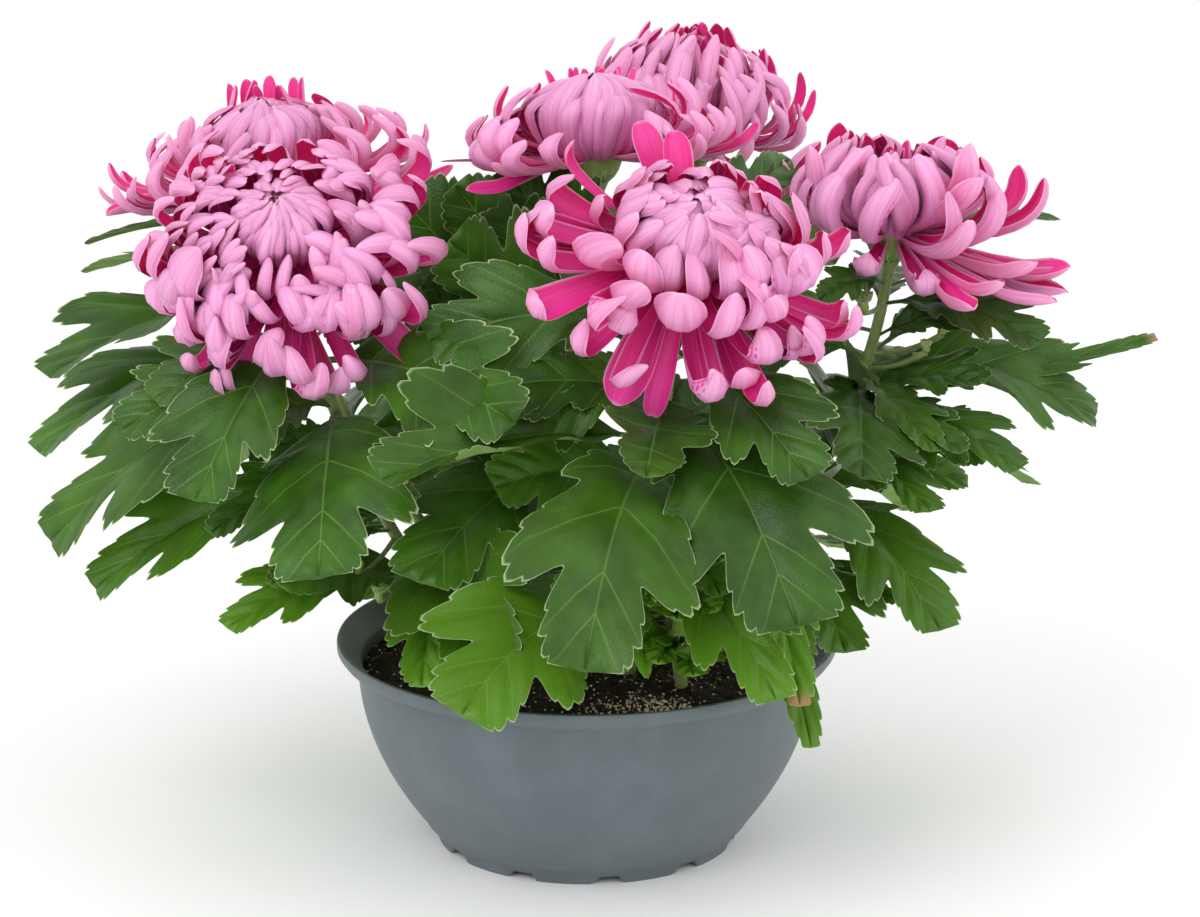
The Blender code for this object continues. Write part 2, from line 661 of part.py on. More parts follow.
def bloom_shapes(name, obstacles):
    """Core, ball and open petals of a bloom. A petal that meets a neighbour is cut back."""
    radius, flatness, open_rings, odd_petals = BLOOMS[name]
    frame = bloom_frame(name)
    draw = random.Random(name)
    shapes = [loft(name, ball_rings(radius, flatness))]
    petals = []
    for layer, (count, length, width, root, leans) in enumerate(open_rings):
        for index in range(count):
            bearing = 2 * math.pi * (index + 0.5 * layer) / count
            bearing += draw.uniform(-PETAL_TURN, PETAL_TURN)
            bend = draw.uniform(-PETAL_BEND, PETAL_BEND)
            reach = length * draw.uniform(*PETAL_REACH)
            lean = (leans[0], leans[1] + bend, leans[2] + bend, leans[3] + 2 * bend)
            petals.append((bearing, reach, width, root, lean))
    for bearing, length, width, root, leans in odd_petals:
        petals.append((math.radians(bearing), length, width, root, leans))
    for shape in shapes:
        shape.transform(frame)
    for bearing, length, width, root, leans in petals:
        for share in CLEAR_SHARES:
            shape = loft(name, petal_rings(bearing, length * share, width, root, leans))
            shape.transform(frame)
            tree = surface_tree(shape)
            if not any(tree.overlap(obstacle) for obstacle in obstacles):
                shapes.append(shape)
                break
    return shapes


def leaf_mesh(root, tip, width, arch, roll, form, draw):
    """A lobed leaf on its stalk. Both faces share the outline and are split alike."""
    outline, midrib = form
    length = (tip - root).length
    lift = Vector((0, 0, 2 * arch * length))
    handle = 0.5 * (root + tip) + lift

    def rib(share):
        rest = 1 - share
        return rest * rest * root + 2 * rest * share * handle + share * share * tip

    outward = 0.5 * (root + tip) - CROWN_AXIS
    outward.z = 0
    lightward = max(-1.0, min(1.0, (tip.y - BACK_EDGE) / BACK_EDGE))
    facing = FACE_OUT * outward.normalized() + FACE_UP * UP + Vector((0, LIGHT_TURN * lightward, 0))

    def axes(share):
        ahead = (rib(min(share + 0.02, 1.0)) - rib(max(share - 0.02, 0.0))).normalized()
        face = (facing - ahead * facing.dot(ahead)).normalized()
        side = ahead.cross(face)
        turn = math.radians(roll)
        return (math.cos(turn) * side + math.sin(turn) * face,
                math.cos(turn) * face - math.sin(turn) * side)

    fold = draw.uniform(*LEAF_FOLD)
    wave = draw.uniform(*LEAF_WAVE) * length
    points = []
    faces = []

    def midrib_pair(share, thickness):
        side, face = axes(share)
        points.append(rib(share) + thickness * face)
        points.append(rib(share) - thickness * face)
        return len(points) - 2

    def blade_share(along):
        return PETIOLE_SHARE + (1 - PETIOLE_SHARE) * along

    def edge_point(along, aside, lifted):
        side, face = axes(blade_share(along))
        return rib(blade_share(along)) + aside * side + (fold * abs(aside) + lifted) * face

    stalk = midrib_pair(0.0, BLADE_HALF_THICKNESS[0])
    pairs = []
    for station in midrib:
        thickness = between((0, 1), BLADE_HALF_THICKNESS, station)
        pairs.append(midrib_pair(blade_share(station), thickness))
    points.append(rib(1.0))
    end = len(points) - 1
    for hand in (-1, 1):
        side, _ = axes(0.0)
        points.append(root + hand * PETIOLE_HALF_WIDTH * side)
        faces.append((stalk, stalk + 1, len(points) - 1))
        previous = (len(points) - 1, stalk)
        for index, (start, reach, joint) in enumerate(outline):
            angle = VEIN_ANGLE - VEIN_ANGLE_LOSS * start
            along = start + reach * math.cos(angle)
            aside = reach * math.sin(angle) * width / COMMON_WIDTH * (1 - PETIOLE_SHARE) * length
            lifted = wave * math.sin(2.4 * index + 1.5 * hand) * min(1.0, 3 * reach)
            points.append(edge_point(min(along, 0.985), hand * aside, lifted))
            current = (len(points) - 1, pairs[joint])
            for face_side in (0, 1):
                faces.append((previous[0], previous[1] + face_side, current[0]))
                if previous[1] != current[1]:
                    faces.append((previous[1] + face_side, current[1] + face_side, current[0]))
            previous = current
        for face_side in (0, 1):
            faces.append((previous[0], previous[1] + face_side, end))
    return closed_mesh("leaf", points, faces)


def bud_mesh(root, place, radius):
    """An unopened bud on a short stalk."""
    ahead = (place - root).normalized()
    middle = 0.5 * (root + place) - BUD_SAG * (place - root).length * UP
    rings = [round_ring(point, ahead, BUD_STALK, BUD_SIDES) for point in (root, middle)]
    for share, height in BUD_SECTIONS:
        rings.append(round_ring(place + height * radius * UP, UP, share * radius, BUD_SIDES))
    rings.append([place + radius * UP])
    return loft("bud", rings)


def leafy_stem_shapes(name, stem, obstacles):
    """A stem and its leaves. A leaf that would cross something else is bent clear of it.

    A leaf may still cross another leaf of its own stem, which it is fused to."""
    shapes = [stem]
    grown = []
    for share, tip, width, arch, roll, form in LEAVES[name]:
        root = stem_point(name, share)
        spare = None
        for attempt in range(LEAF_TRIES):
            bearing = GOLDEN_TURN * attempt
            spread = Vector((math.cos(bearing), math.sin(bearing), math.sin(1.7 * attempt)))
            reach = Vector(tip) + LEAF_BEND * attempt * spread
            draw = random.Random(f"{name} {share}")
            shape = leaf_mesh(root, reach, width, arch, roll, form, draw)
            tree = surface_tree(shape)
            if any(tree.overlap(obstacle) for obstacle in obstacles):
                continue
            if spare is None:
                spare = (shape, tree)
            if not any(tree.overlap(other) for other in grown):
                spare = (shape, tree)
                break
        if spare:
            shapes.append(spare[0])
            grown.append(spare[1])
    for share, place, radius in BUDS.get(name, []):
        shapes.append(bud_mesh(stem_point(name, share), Vector(place), radius))
    return shapes


def build():
    """Puts the whole potted plant together."""
    clear_scene()
    plastic = finish("slate grey polypropylene", (0.14, 0.17, 0.19), 0.45)
    earth = finish("potting soil", (0.03, 0.02, 0.015), 0.95)
    green = finish("chrysanthemum leaf", (0.05, 0.16, 0.03), 0.5)
    pink = finish("chrysanthemum petal", (0.80, 0.30, 0.52), 0.55)
    potted_plant = bpy.data.objects.new("potted plant", None)
    bpy.context.scene.collection.objects.link(potted_plant)

    bowl = cut(bowl_mesh(), drain_cutters())
    stems = {name: stem_mesh(name) for name in STEMS}
    holes = []
    for foot, _, _, _ in STEMS.values():
        rings = [stem_ring(foot, height, STEM_RADIUS + GAP) for height in (HOLE_FLOOR, HOLE_TOP)]
        holes.append(loft("hole", rings))
    soil = cut(soil_mesh(), holes)
    add_object("bowl", bowl, plastic, Matrix(), potted_plant)
    add_object("soil", soil, earth, Matrix(), potted_plant)
    obstacles = [surface_tree(bowl), surface_tree(soil)]
    stem_trees = {name: surface_tree(stem) for name, stem in stems.items()}
    bloom_trees = {}
    for name in BLOOMS:
        others = obstacles + list(stem_trees.values()) + list(bloom_trees.values())
        shapes = bloom_shapes(name, others)
        solid = fuse("bloom_" + name, shapes)
        bloom_trees[name] = surface_tree(solid)
        add_object("bloom_" + name, solid, pink, bloom_frame(name), potted_plant)
    obstacles += list(bloom_trees.values())
    for name in STEMS:
        others = obstacles + [tree for other, tree in stem_trees.items() if other != name]
        solid = fuse("stem_" + name, leafy_stem_shapes(name, stems[name], others))
        obstacles.append(surface_tree(solid))
        place = Matrix.Translation((*STEMS[name][0], STEM_START))
        add_object("stem_" + name, solid, green, place, potted_plant)


build()
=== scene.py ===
"""The looks of a potted chrysanthemum: petals, leaves, stems, compost and bowl, in metres, +Z up."""

import math
import random

import bmesh
import bpy
from mathutils import Matrix, Vector, noise


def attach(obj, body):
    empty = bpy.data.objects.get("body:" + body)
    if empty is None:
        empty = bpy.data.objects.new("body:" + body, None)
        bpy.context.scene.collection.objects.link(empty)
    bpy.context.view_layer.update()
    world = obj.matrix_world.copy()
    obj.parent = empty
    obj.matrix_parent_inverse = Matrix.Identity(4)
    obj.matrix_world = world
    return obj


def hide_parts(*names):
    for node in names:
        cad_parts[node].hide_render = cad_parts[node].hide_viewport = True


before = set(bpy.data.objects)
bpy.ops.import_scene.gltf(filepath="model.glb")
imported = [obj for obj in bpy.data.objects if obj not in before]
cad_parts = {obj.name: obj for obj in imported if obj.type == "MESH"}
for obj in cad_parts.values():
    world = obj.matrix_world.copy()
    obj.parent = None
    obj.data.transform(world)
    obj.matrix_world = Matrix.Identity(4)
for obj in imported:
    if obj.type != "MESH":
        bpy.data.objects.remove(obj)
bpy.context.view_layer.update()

# The view
# The plant is seen from a little above, from 1.8 m away and through a long lens, so that it looks
# as flat as in a catalogue.
STANDOFF = 1.80
SENSOR_WIDTH = 36
VIEW_HEIGHT = math.radians(18)
AIM_LEVEL = 0.100
PITCH = math.radians(15.31)
YAW = math.radians(0.215)
LENS = 112.05


def set_up(name, data):
    """A new object that holds this data and stands in the scene."""
    thing = bpy.data.objects.new(name, data)
    bpy.context.scene.collection.objects.link(thing)
    return thing


camera_data = bpy.data.cameras.new("camera")
camera_data.lens = LENS
camera_data.sensor_width = SENSOR_WIDTH
camera = set_up("camera", camera_data)
camera.location = (0, -STANDOFF * math.cos(VIEW_HEIGHT), AIM_LEVEL + STANDOFF * math.sin(VIEW_HEIGHT))
level_sight = Vector((math.sin(YAW), math.cos(YAW), 0))
line_of_sight = level_sight * math.cos(PITCH) - Vector((0, 0, math.sin(PITCH)))
camera.rotation_euler = line_of_sight.to_track_quat("-Z", "Y").to_euler()
bpy.context.scene.camera = camera


# The bowl
# A planting bowl of slate grey polypropylene, injection moulded in one piece: a thin round belly,
# a lip that steps outwards, and a ring of low feet with gaps between them for the water to drain.
BOWL_FEET = 11
FIRST_FOOT = math.radians(-98.4)
BOWL_SIDES = BOWL_FEET * 18
FOOT_GAP = 0.30  # of the way from one foot to the next, as is the rounded step beside the gap
FOOT_STEP = 0.07
FOOT_LIFT = 0.0035
BELLY_TOP = 0.088
BELLY_DEPTH = 0.083
BELLY_RADIUS = 0.110
BELLY_NARROWING = 0.036  # from its top to its underside
UNDERSIDE = 0.0045
FLOOR_TOP = 0.0070
WALL = 0.0018
CREASE = math.radians(50)  # past which an edge is sharp
SLATE = "#5d676c"
SLATE_WORN = "#788287"


def linear(colour):
    """An sRGB hex colour as the linear values that a shader takes."""
    values = [int(colour[place:place + 2], 16) / 255 for place in (1, 3, 5)]
    return (*[v / 12.92 if v <= 0.04045 else ((v + 0.055) / 1.055) ** 2.4 for v in values], 1.0)


def put(tree, kind, links=(), **settings):
    """Adds a node to a tree, with its settings, and links or sets its sockets."""
    node = tree.nodes.new(kind)
    for name, value in settings.items():
        setattr(node, name, value)
    for socket, value in links.items() if isinstance(links, dict) else enumerate(links):
        if isinstance(value, bpy.types.Node):
            value = next(output for output in value.outputs if output.enabled)
        if isinstance(value, bpy.types.NodeSocket):
            tree.links.new(value, node.inputs[socket])
        elif value is not None:
            node.inputs[socket].default_value = value
    return node


def finish(name, roughness, ior=1.46, **constants):
    """A material with its tree and its shader, ready for colour and bump."""
    material = bpy.data.materials.new(name)
    material.use_nodes = True
    shader = material.node_tree.nodes["Principled BSDF"]
    shader.inputs["Roughness"].default_value = roughness
    shader.inputs["IOR"].default_value = ior
    for socket, value in constants.items():
        shader.inputs[socket.replace("_", " ")].default_value = value
    return material, material.node_tree, shader


def colour_and_bump(tree, shader, tone, bump=None):
    """Leads a colour, and a bump where there is one, to a shader."""
    tree.links.new(tone, shader.inputs["Base Color"])
    if bump:
        tree.links.new(bump.outputs[0], shader.inputs["Normal"])


def belly(height):
    """The outer radius of the bowl's belly."""
    fall = (BELLY_TOP - height) / BELLY_DEPTH
    return BELLY_RADIUS - BELLY_NARROWING * fall * fall


def bowl_profile():
    """Radius, height and how much the gaps between the feet lift it, from underneath to inside."""
    outside = [(0.0, UNDERSIDE, 0), (0.0635, UNDERSIDE, 0), (0.0640, 0.0040, 0), (0.0640, 0.0, 1)]
    outside += [(0.0652, 0.0, 1), (0.0712, 0.0, 1), (0.0725, 0.0, 1), (0.0732, 0.0020, 0.6)]
    outside += [(belly(height), height, 0) for height in (0.0050, 0.0072)]
    outside += [(belly(height) + 0.0006, height, 0) for height in (0.0085, 0.0098)]
    outside += [(belly(0.012 + 0.004 * step), 0.012 + 0.004 * step, 0) for step in range(20)]
    outside += [(0.1105, 0.0895, 0), (0.1110, 0.0908, 0), (0.1166, 0.0922, 0), (0.1178, 0.0932, 0)]
    outside += [(0.1200, 0.0962, 0), (0.1201, 0.0990, 0), (0.1197, 0.1000, 0), (0.1182, 0.1002, 0)]
    inside = [(0.1173, 0.0995, 0), (0.1166, 0.0965, 0), (0.1092, 0.0920, 0)]
    inside += [(belly(BELLY_TOP - 0.006 * step) - WALL, BELLY_TOP - 0.006 * step, 0) for step in range(14)]
    inside += [(0.070, FLOOR_TOP, 0), (0.0, FLOOR_TOP, 0)]
    return outside + inside


def gap_share(angle):
    """1 in the gap between two feet and 0 on a foot, with rounded steps."""
    place = ((angle - FIRST_FOOT) * BOWL_FEET / (2 * math.pi)) % 1.0
    share = max(0.0, min(1.0, 0.5 + (FOOT_GAP / 2 - abs(place - 0.5)) / FOOT_STEP))
    return share ** 2 * (3 - 2 * share)


def built(name, shape):
    """The mesh of a shape that was built corner by corner."""
    mesh = bpy.data.meshes.new(name)
    shape.to_mesh(mesh)
    shape.free()
    return mesh


def turned(name, profile, sides):
    """Turns a profile that starts and ends on the axis into a closed solid."""
    shape = bmesh.new()
    rings = []
    for radius, height, lifted in profile:
        if radius == 0:
            rings.append([shape.verts.new((0, 0, height))])
            continue
        ring = []
        for side in range(sides):
            angle = 2 * math.pi * side / sides
            lift = FOOT_LIFT * lifted * gap_share(angle)
            spot = (radius * math.cos(angle), radius * math.sin(angle), height + lift)
            ring.append(shape.verts.new(spot))
        rings.append(ring)
    for lower, upper in zip(rings, rings[1:]):
        for side in range(sides):
            following = (side + 1) % sides
            corners = [lower[side % len(lower)], lower[following % len(lower)]]
            corners += [upper[following % len(upper)], upper[side % len(upper)]]
            shape.faces.new(dict.fromkeys(corners))
    bmesh.ops.recalc_face_normals(shape, faces=shape.faces)
    mesh = built(name, shape)
    mesh.shade_smooth()
    mesh.set_sharp_from_angle(angle=CREASE)
    return mesh


def place(name, mesh, material, slot, *nodes):
    """Links a finished mesh, gives it a finish where one is given, lets it ride on the plant, and hides the
    model's parts that it stands in for.
    """
    thing = set_up(name, mesh)
    if material:
        mesh.materials.clear()
        mesh.materials.append(material)
    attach(thing, "root")
    if nodes:
        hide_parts(*nodes)
    return thing


# Matt moulded polypropylene: nearly even in colour, with a fine spark-eroded grain that softens its
# highlights, and dry smears of compost water in patches all over it.
plastic, tree, shader = finish("moulded slate polypropylene", 0.46)
where = put(tree, "ShaderNodeTexCoord").outputs["Object"]
smears = put(tree, "ShaderNodeTexNoise", {"Vector": where, "Scale": 28.0, "Detail": 5.0, "Roughness": 0.65})
worn = put(tree, "ShaderNodeMapRange", (smears.outputs[0], 0.45, 0.80, 0.0, 0.55))
grain = put(tree, "ShaderNodeTexNoise", {"Vector": where, "Scale": 900.0, "Detail": 2.0})
tone = put(tree, "ShaderNodeMix", {0: worn, 6: linear(SLATE), 7: linear(SLATE_WORN)}, data_type="RGBA")
dull = put(tree, "ShaderNodeMapRange", (smears.outputs[0], 0.3, 0.8, 0.40, 0.58))
bump = put(tree, "ShaderNodeBump", {"Strength": 0.25, "Distance": 0.0004, "Height": grain.outputs[0]})
tree.links.new(dull.outputs[0], shader.inputs["Roughness"])
colour_and_bump(tree, shader, tone.outputs[2], bump)
place("planting_bowl", turned("planting bowl", bowl_profile(), BOWL_SIDES), plastic, "bowl", "bowl")


# The compost
# Dark peat and fine bark fill the bowl to just under its lip, heaped a little round the plant. White
# perlite and slivers of bark lie in it, and pale grit was washed to the front edge.
SOIL_RADIUS = 0.1084
SOIL_BOTTOM = (0.055, 0.93)  # height, and the share of the radius that it has there
SOIL_LEVEL = 0.084
SOIL_CROWN = 0.009
SOIL_RINGS = 44
SOIL_SIDES = 150
SOIL_LUMPS = ((0.0022, 70, 1.0), (0.0016, 260, 2.0))  # height, how many in a metre, and seed
CRUMB_LUMPS = (0.5, 2.3)  # how deep they are, and how many across a crumb
FULL_TURN = 6.28
STREWN_ABOVE = 0.08
HEAP = Vector((0.035, -0.086))
HEAP_HEIGHT = 0.0125
HEAP_WIDTH = 0.040
HEAP_EDGE = 24  # the higher, the closer to the bowl the heap stays high
GRIT_CENTRE = Vector((0.036, -0.0935))
GRIT_SIZE = Vector((0.026, 0.0045))


def soil_surface():
    """A closed body of compost whose top is heaped and lumpy, with a mask where the grit lies."""
    shape = bmesh.new()
    grit = shape.verts.layers.float.new("grit")
    bottom, narrowing = SOIL_BOTTOM
    angles = [2 * math.pi * side / SOIL_SIDES for side in range(SOIL_SIDES)]
    base = [shape.verts.new((SOIL_RADIUS * narrowing * math.cos(angle),
                             SOIL_RADIUS * narrowing * math.sin(angle), bottom)) for angle in angles]
    levels = [base]
    for step in range(SOIL_RINGS):
        radius = SOIL_RADIUS * (1 - step / SOIL_RINGS)
        ring = []
        for angle in angles:
            spot = Vector((radius * math.cos(angle), radius * math.sin(angle)))
            share = radius / SOIL_RADIUS
            height = SOIL_LEVEL + SOIL_CROWN * (1 - share * share)
            heap = HEAP_HEIGHT * math.exp(-((spot - HEAP).length / HEAP_WIDTH) ** 2)
            height += heap * (1 - share ** HEAP_EDGE)
            for swell, spread, seed in SOIL_LUMPS:
                height += swell * noise.noise(Vector((spot.x * spread, spot.y * spread, seed)))
            corner = shape.verts.new((spot.x, spot.y, height))
            away = spot - GRIT_CENTRE
            corner[grit] = math.exp(-(away.x / GRIT_SIZE.x) ** 2 - (away.y / GRIT_SIZE.y) ** 2)
            ring.append(corner)
        levels.append(ring)
    for lower, upper in zip(levels, levels[1:]):
        for side in range(SOIL_SIDES):
            following = (side + 1) % SOIL_SIDES
            shape.faces.new((lower[side], lower[following], upper[following], upper[side]))
    shape.faces.new(levels[-1])
    shape.faces.new(reversed(base))
    mesh = built("compost", shape)
    mesh.shade_smooth()
    return mesh


def mark(mesh, label, values, kind="FLOAT", field="value"):
    """Gives each point of a mesh its own value, under a name that a tree or a material can read."""
    mesh.attributes.new(label, kind, "POINT").data.foreach_set(field, values)


def crumb(name, flatness):
    """One rough crumb, one unit across, for strewing."""
    shape = bmesh.new()
    bmesh.ops.create_icosphere(shape, subdivisions=1, radius=0.5)
    depth, spread = CRUMB_LUMPS
    for corner in shape.verts:
        corner.co *= 1 + depth * noise.noise(corner.co * spread + Vector((flatness, 0, 0)))
        corner.co.z *= flatness
    return set_up(name, built(name, shape))


def tree_for(name, **inputs):
    """An empty geometry tree with named inputs, its input node and its output node."""
    tree = bpy.data.node_groups.new(name, "GeometryNodeTree")
    tree.interface.new_socket("Geometry", in_out="INPUT", socket_type="NodeSocketGeometry")
    for label, kind in inputs.items():
        tree.interface.new_socket(label.replace("_", " "), in_out="INPUT", socket_type="NodeSocket" + kind)
    tree.interface.new_socket("Geometry", in_out="OUTPUT", socket_type="NodeSocketGeometry")
    return tree, put(tree, "NodeGroupInput").outputs


def grown(name, start, tree, **values):
    """Runs a geometry tree on a mesh and returns the result as a plain mesh."""
    thing = set_up(name, start)
    modifier = thing.modifiers.new(tree.name, "NODES")
    modifier.node_group = tree
    for label, value in values.items():
        modifier[tree.interface.items_tree[label.replace("_", " ")].identifier] = value
    view = bpy.context.evaluated_depsgraph_get()
    mesh = bpy.data.meshes.new_from_object(thing.evaluated_get(view))
    thing.modifiers.clear()
    bpy.data.objects.remove(thing)
    mesh.name = name
    return mesh


# Crumbs are strewn on a surface, turned at random and half sunk in it
strewing, given = tree_for("strewing", Crumb="Object", Density="Float", Small="Float", Large="Float",
                           Seed="Int", Mask="String", Finish="Material")
mask = put(strewing, "GeometryNodeInputNamedAttribute", {"Name": given["Mask"]})
thick = put(strewing, "ShaderNodeMath", (given["Density"], mask.outputs[0]), operation="MULTIPLY")
spots = put(strewing, "GeometryNodeDistributePointsOnFaces", {"Mesh": given["Geometry"], "Density": thick,
                                                             "Seed": given["Seed"]})
size = put(strewing, "FunctionNodeRandomValue", {2: given["Small"], 3: given["Large"], "Seed": given["Seed"]})
turn = put(strewing, "FunctionNodeRandomValue", {"Min": (0, 0, 0), "Max": (FULL_TURN,) * 3, "Seed": 3},
           data_type="FLOAT_VECTOR")
crumbs = put(strewing, "GeometryNodeObjectInfo", (given["Crumb"],)).outputs["Geometry"]
strewn = put(strewing, "GeometryNodeInstanceOnPoints",
             {"Points": spots.outputs[0], "Instance": crumbs, "Rotation": turn, "Scale": size})
real = put(strewing, "GeometryNodeRealizeInstances", (strewn,))
painted = put(strewing, "GeometryNodeSetMaterial", {0: real, "Material": given["Finish"]})
put(strewing, "NodeGroupOutput", (painted,))

# Peat: almost black where it is wet, brown where it has dried, and rough at every scale.
peat, tree, shader = finish("peat compost", 0.95)
where = put(tree, "ShaderNodeTexCoord").outputs["Object"]
lumps = put(tree, "ShaderNodeTexNoise", {"Vector": where, "Scale": 320.0, "Detail": 6.0, "Roughness": 0.7})
tone = put(tree, "ShaderNodeValToRGB", (lumps.outputs[0],))
tone.color_ramp.elements[0].color = linear("#150d0b")
tone.color_ramp.elements[0].position = 0.35
tone.color_ramp.elements[1].color = linear("#3d2a24")
tone.color_ramp.elements[1].position = 0.72
bump = put(tree, "ShaderNodeBump", {"Strength": 0.9, "Distance": 0.0015, "Height": lumps.outputs[0]})
colour_and_bump(tree, shader, tone.outputs[0], bump)


def patches(tree, where, dark, light, scale, detail, upper=0.70):
    """A colour that changes in patches from a dark to a light one."""
    patch = put(tree, "ShaderNodeTexNoise", {"Vector": where, "Scale": scale, "Detail": detail})
    share = put(tree, "ShaderNodeMapRange", (patch.outputs[0], 0.35, upper))
    tone = put(tree, "ShaderNodeMix", {0: share, 6: linear(dark), 7: linear(light)}, data_type="RGBA")
    return tone.outputs[2]


def mineral(name, dark, light, roughness):
    """Grains that differ from one another in colour, because the noise is coarser than a grain."""
    material, tree, shader = finish(name, roughness)
    where = put(tree, "ShaderNodeTexCoord").outputs["Object"]
    colour_and_bump(tree, shader, patches(tree, where, dark, light, 700.0, 1.0, 0.65))
    return material


compost = place("compost", soil_surface(), peat, "soil", "soil")
mark(compost.data, "all over", [float(corner.co.z > STREWN_ABOVE) for corner in compost.data.vertices])
round_crumb = crumb("round crumb", 0.8)
sliver = crumb("sliver", 0.3)

# What is strewn: its grain, how many there are in a square metre, its least and greatest size,
# where it lies, and its finish
STREWN = (
    ("compost_crumbs", round_crumb, 22000, 0.0012, 0.0030, "all over", peat),
    ("bark_slivers", sliver, 16000, 0.0015, 0.0042, "all over",
     mineral("composted bark", "#3a2a20", "#7a6048", 0.9)),
    ("perlite_specks", round_crumb, 22000, 0.0006, 0.0017, "all over",
     mineral("perlite", "#d8d2c8", "#faf8f3", 0.8)),
    ("washed_grit", round_crumb, 900000, 0.0008, 0.0017, "grit",
     mineral("washed grit", "#b79a84", "#efe2d2", 0.85)),
)
for seed, (name, grain_shape, density, small, large, mask_name, material) in enumerate(STREWN):
    strewn = grown(name, compost.data.copy(), strewing, Crumb=grain_shape, Density=density, Small=small,
                   Large=large, Seed=seed, Mask=mask_name, Finish=material)
    place(name, strewn, None, "soil")
for shape in (round_crumb, sliver):
    bpy.data.objects.remove(shape)


# The stems
# Soft green stems, faintly ribbed and downy, lean out from the middle of the bowl. Each ends in a
# green cup that carries its bloom, and short side stalks carry buds that haven't opened.
STEM_RADIUS = 0.0028
STEM_START = 0.097
STEM_FOOT = 0.078
STEM_RISE = 0.085
STEM_STEPS = 26
STEM_SWELL = ((STEM_FOOT, 1.25), (STEM_START, 1.1))  # how much thicker it is near the compost
STEM_TAPER = (1.06, 0.12)  # its thickness at the foot, and how much of it is lost by the top
STEM_TOP = 0.93  # of the way to the seat of the bloom, where a stem without a bloom ends
PEDUNCLE = 0.045
SIDE_STALK_RADIUS = 0.0012
SIDE_STALK_SAG = 0.15
SIDE_STALK_STEPS = 8
CUP_LENGTH = 0.016

# The cup under a bloom: how far below the bloom's seat, and its radius there
CUP = ((0.0125, 0.0032), (0.0090, 0.0050), (0.0050, 0.0080), (0.0015, 0.0098), (-0.0015, 0.0100))

# Each stem: where it leaves the compost, the seat and the axis of its bloom, and how far out it
# leans at its foot
STEMS = {
    "back_left": ((-0.040, 0.045), (-0.155, 0.101, 0.300), (-0.10, -0.05, 0.99), 0.85),
    "front_left": ((-0.050, -0.015), (-0.137, -0.028, 0.295), (-0.05, -0.70, 0.71), 0.77),
    "back_right": ((0.015, 0.055), (0.056, 0.125, 0.316), (0.02, 0.00, 1.00), 0.50),
    "middle": ((-0.005, 0.010), (0.005, 0.024, 0.325), (-0.05, 0.10, 0.99), 0.40),
    "front": ((0.020, -0.045), (0.045, -0.066, 0.297), (0.10, -0.60, 0.79), 0.40),
    "right": ((0.055, 0.005), (0.144, 0.020, 0.288), (0.02, -0.05, 1.00), 0.75),
    "young": ((0.044, -0.072), (0.036, -0.090, 0.152), (-0.10, -0.30, 0.95), 0.30),
}

# Each bud: how far up its stem it branches off, where it stands, and its radius
BUDS = {
    "right": [
        (0.80, (0.130, 0.000, 0.264), 0.0065),
        (0.62, (0.160, -0.002, 0.243), 0.0040),
        (0.66, (0.168, 0.006, 0.250), 0.0045),
        (0.58, (0.157, 0.010, 0.234), 0.0035),
    ],
    "front_left": [
        (0.20, (-0.096, -0.060, 0.140), 0.0050),
        (0.24, (-0.106, -0.054, 0.150), 0.0040),
    ],
    "young": [
        (0.60, (0.022, -0.094, 0.140), 0.0040),
    ],
}


def stem_point(name, share):
    """A point on a stem's middle line, from the compost (0) to the seat of the bloom (1)."""
    foot, seat, axis, lean = STEMS[name]
    low = Vector((*foot, STEM_START))
    high = Vector(seat)
    longest = 0.4 * (high.z - low.z)
    first = low + Vector((lean * (high.x - low.x), lean * (high.y - low.y), min(STEM_RISE, longest)))
    second = high - min(PEDUNCLE, longest) * Vector(axis).normalized()
    rest = 1 - share
    return (rest ** 3 * low + 3 * rest * rest * share * first
            + 3 * rest * share * share * second + share ** 3 * high)


def stem_lines(name):
    """The middle lines of a stem and of its side stalks, with the radius at each point."""
    foot, seat, axis, _ = STEMS[name]
    axis = Vector(axis).normalized()
    thick, taper = STEM_TAPER
    points = [(Vector((*foot, height)), STEM_RADIUS * swell) for height, swell in STEM_SWELL]
    for step in range(1, STEM_STEPS + 1):
        spot = stem_point(name, STEM_TOP * step / STEM_STEPS)
        points.append((spot, STEM_RADIUS * (thick - taper * step / STEM_STEPS)))
    if name in BLOOMS:
        points = [point for point in points if (point[0] - Vector(seat)).length > CUP_LENGTH]
        points += [(Vector(seat) - axis * below, radius) for below, radius in CUP]
    lines = [points]
    for share, place_at, radius in BUDS.get(name, []):
        root = stem_point(name, share)
        tip = Vector(place_at) - Vector((0, 0, 0.8 * radius))
        middle = 0.5 * (root + tip) - Vector((0, 0, SIDE_STALK_SAG * (tip - root).length))
        stalk = []
        for step in range(SIDE_STALK_STEPS + 1):
            part = step / SIDE_STALK_STEPS
            spot = (1 - part) ** 2 * root + 2 * part * (1 - part) * middle + part ** 2 * tip
            stalk.append((spot, SIDE_STALK_RADIUS + SIDE_STALK_RADIUS * max(0, part - 0.7)))
        lines.append(stalk)
    return lines


def polylines(name, lines):
    """Lines of points as a mesh of edges, with each point's radius as an attribute."""
    mesh = bpy.data.meshes.new(name)
    points = [spot for line in lines for spot, _ in line]
    edges = []
    start = 0
    for line in lines:
        edges += [(start + step, start + step + 1) for step in range(len(line) - 1)]
        start += len(line)
    mesh.from_pydata(points, edges, [])
    mark(mesh, "thickness", [radius for line in lines for _, radius in line])
    return mesh


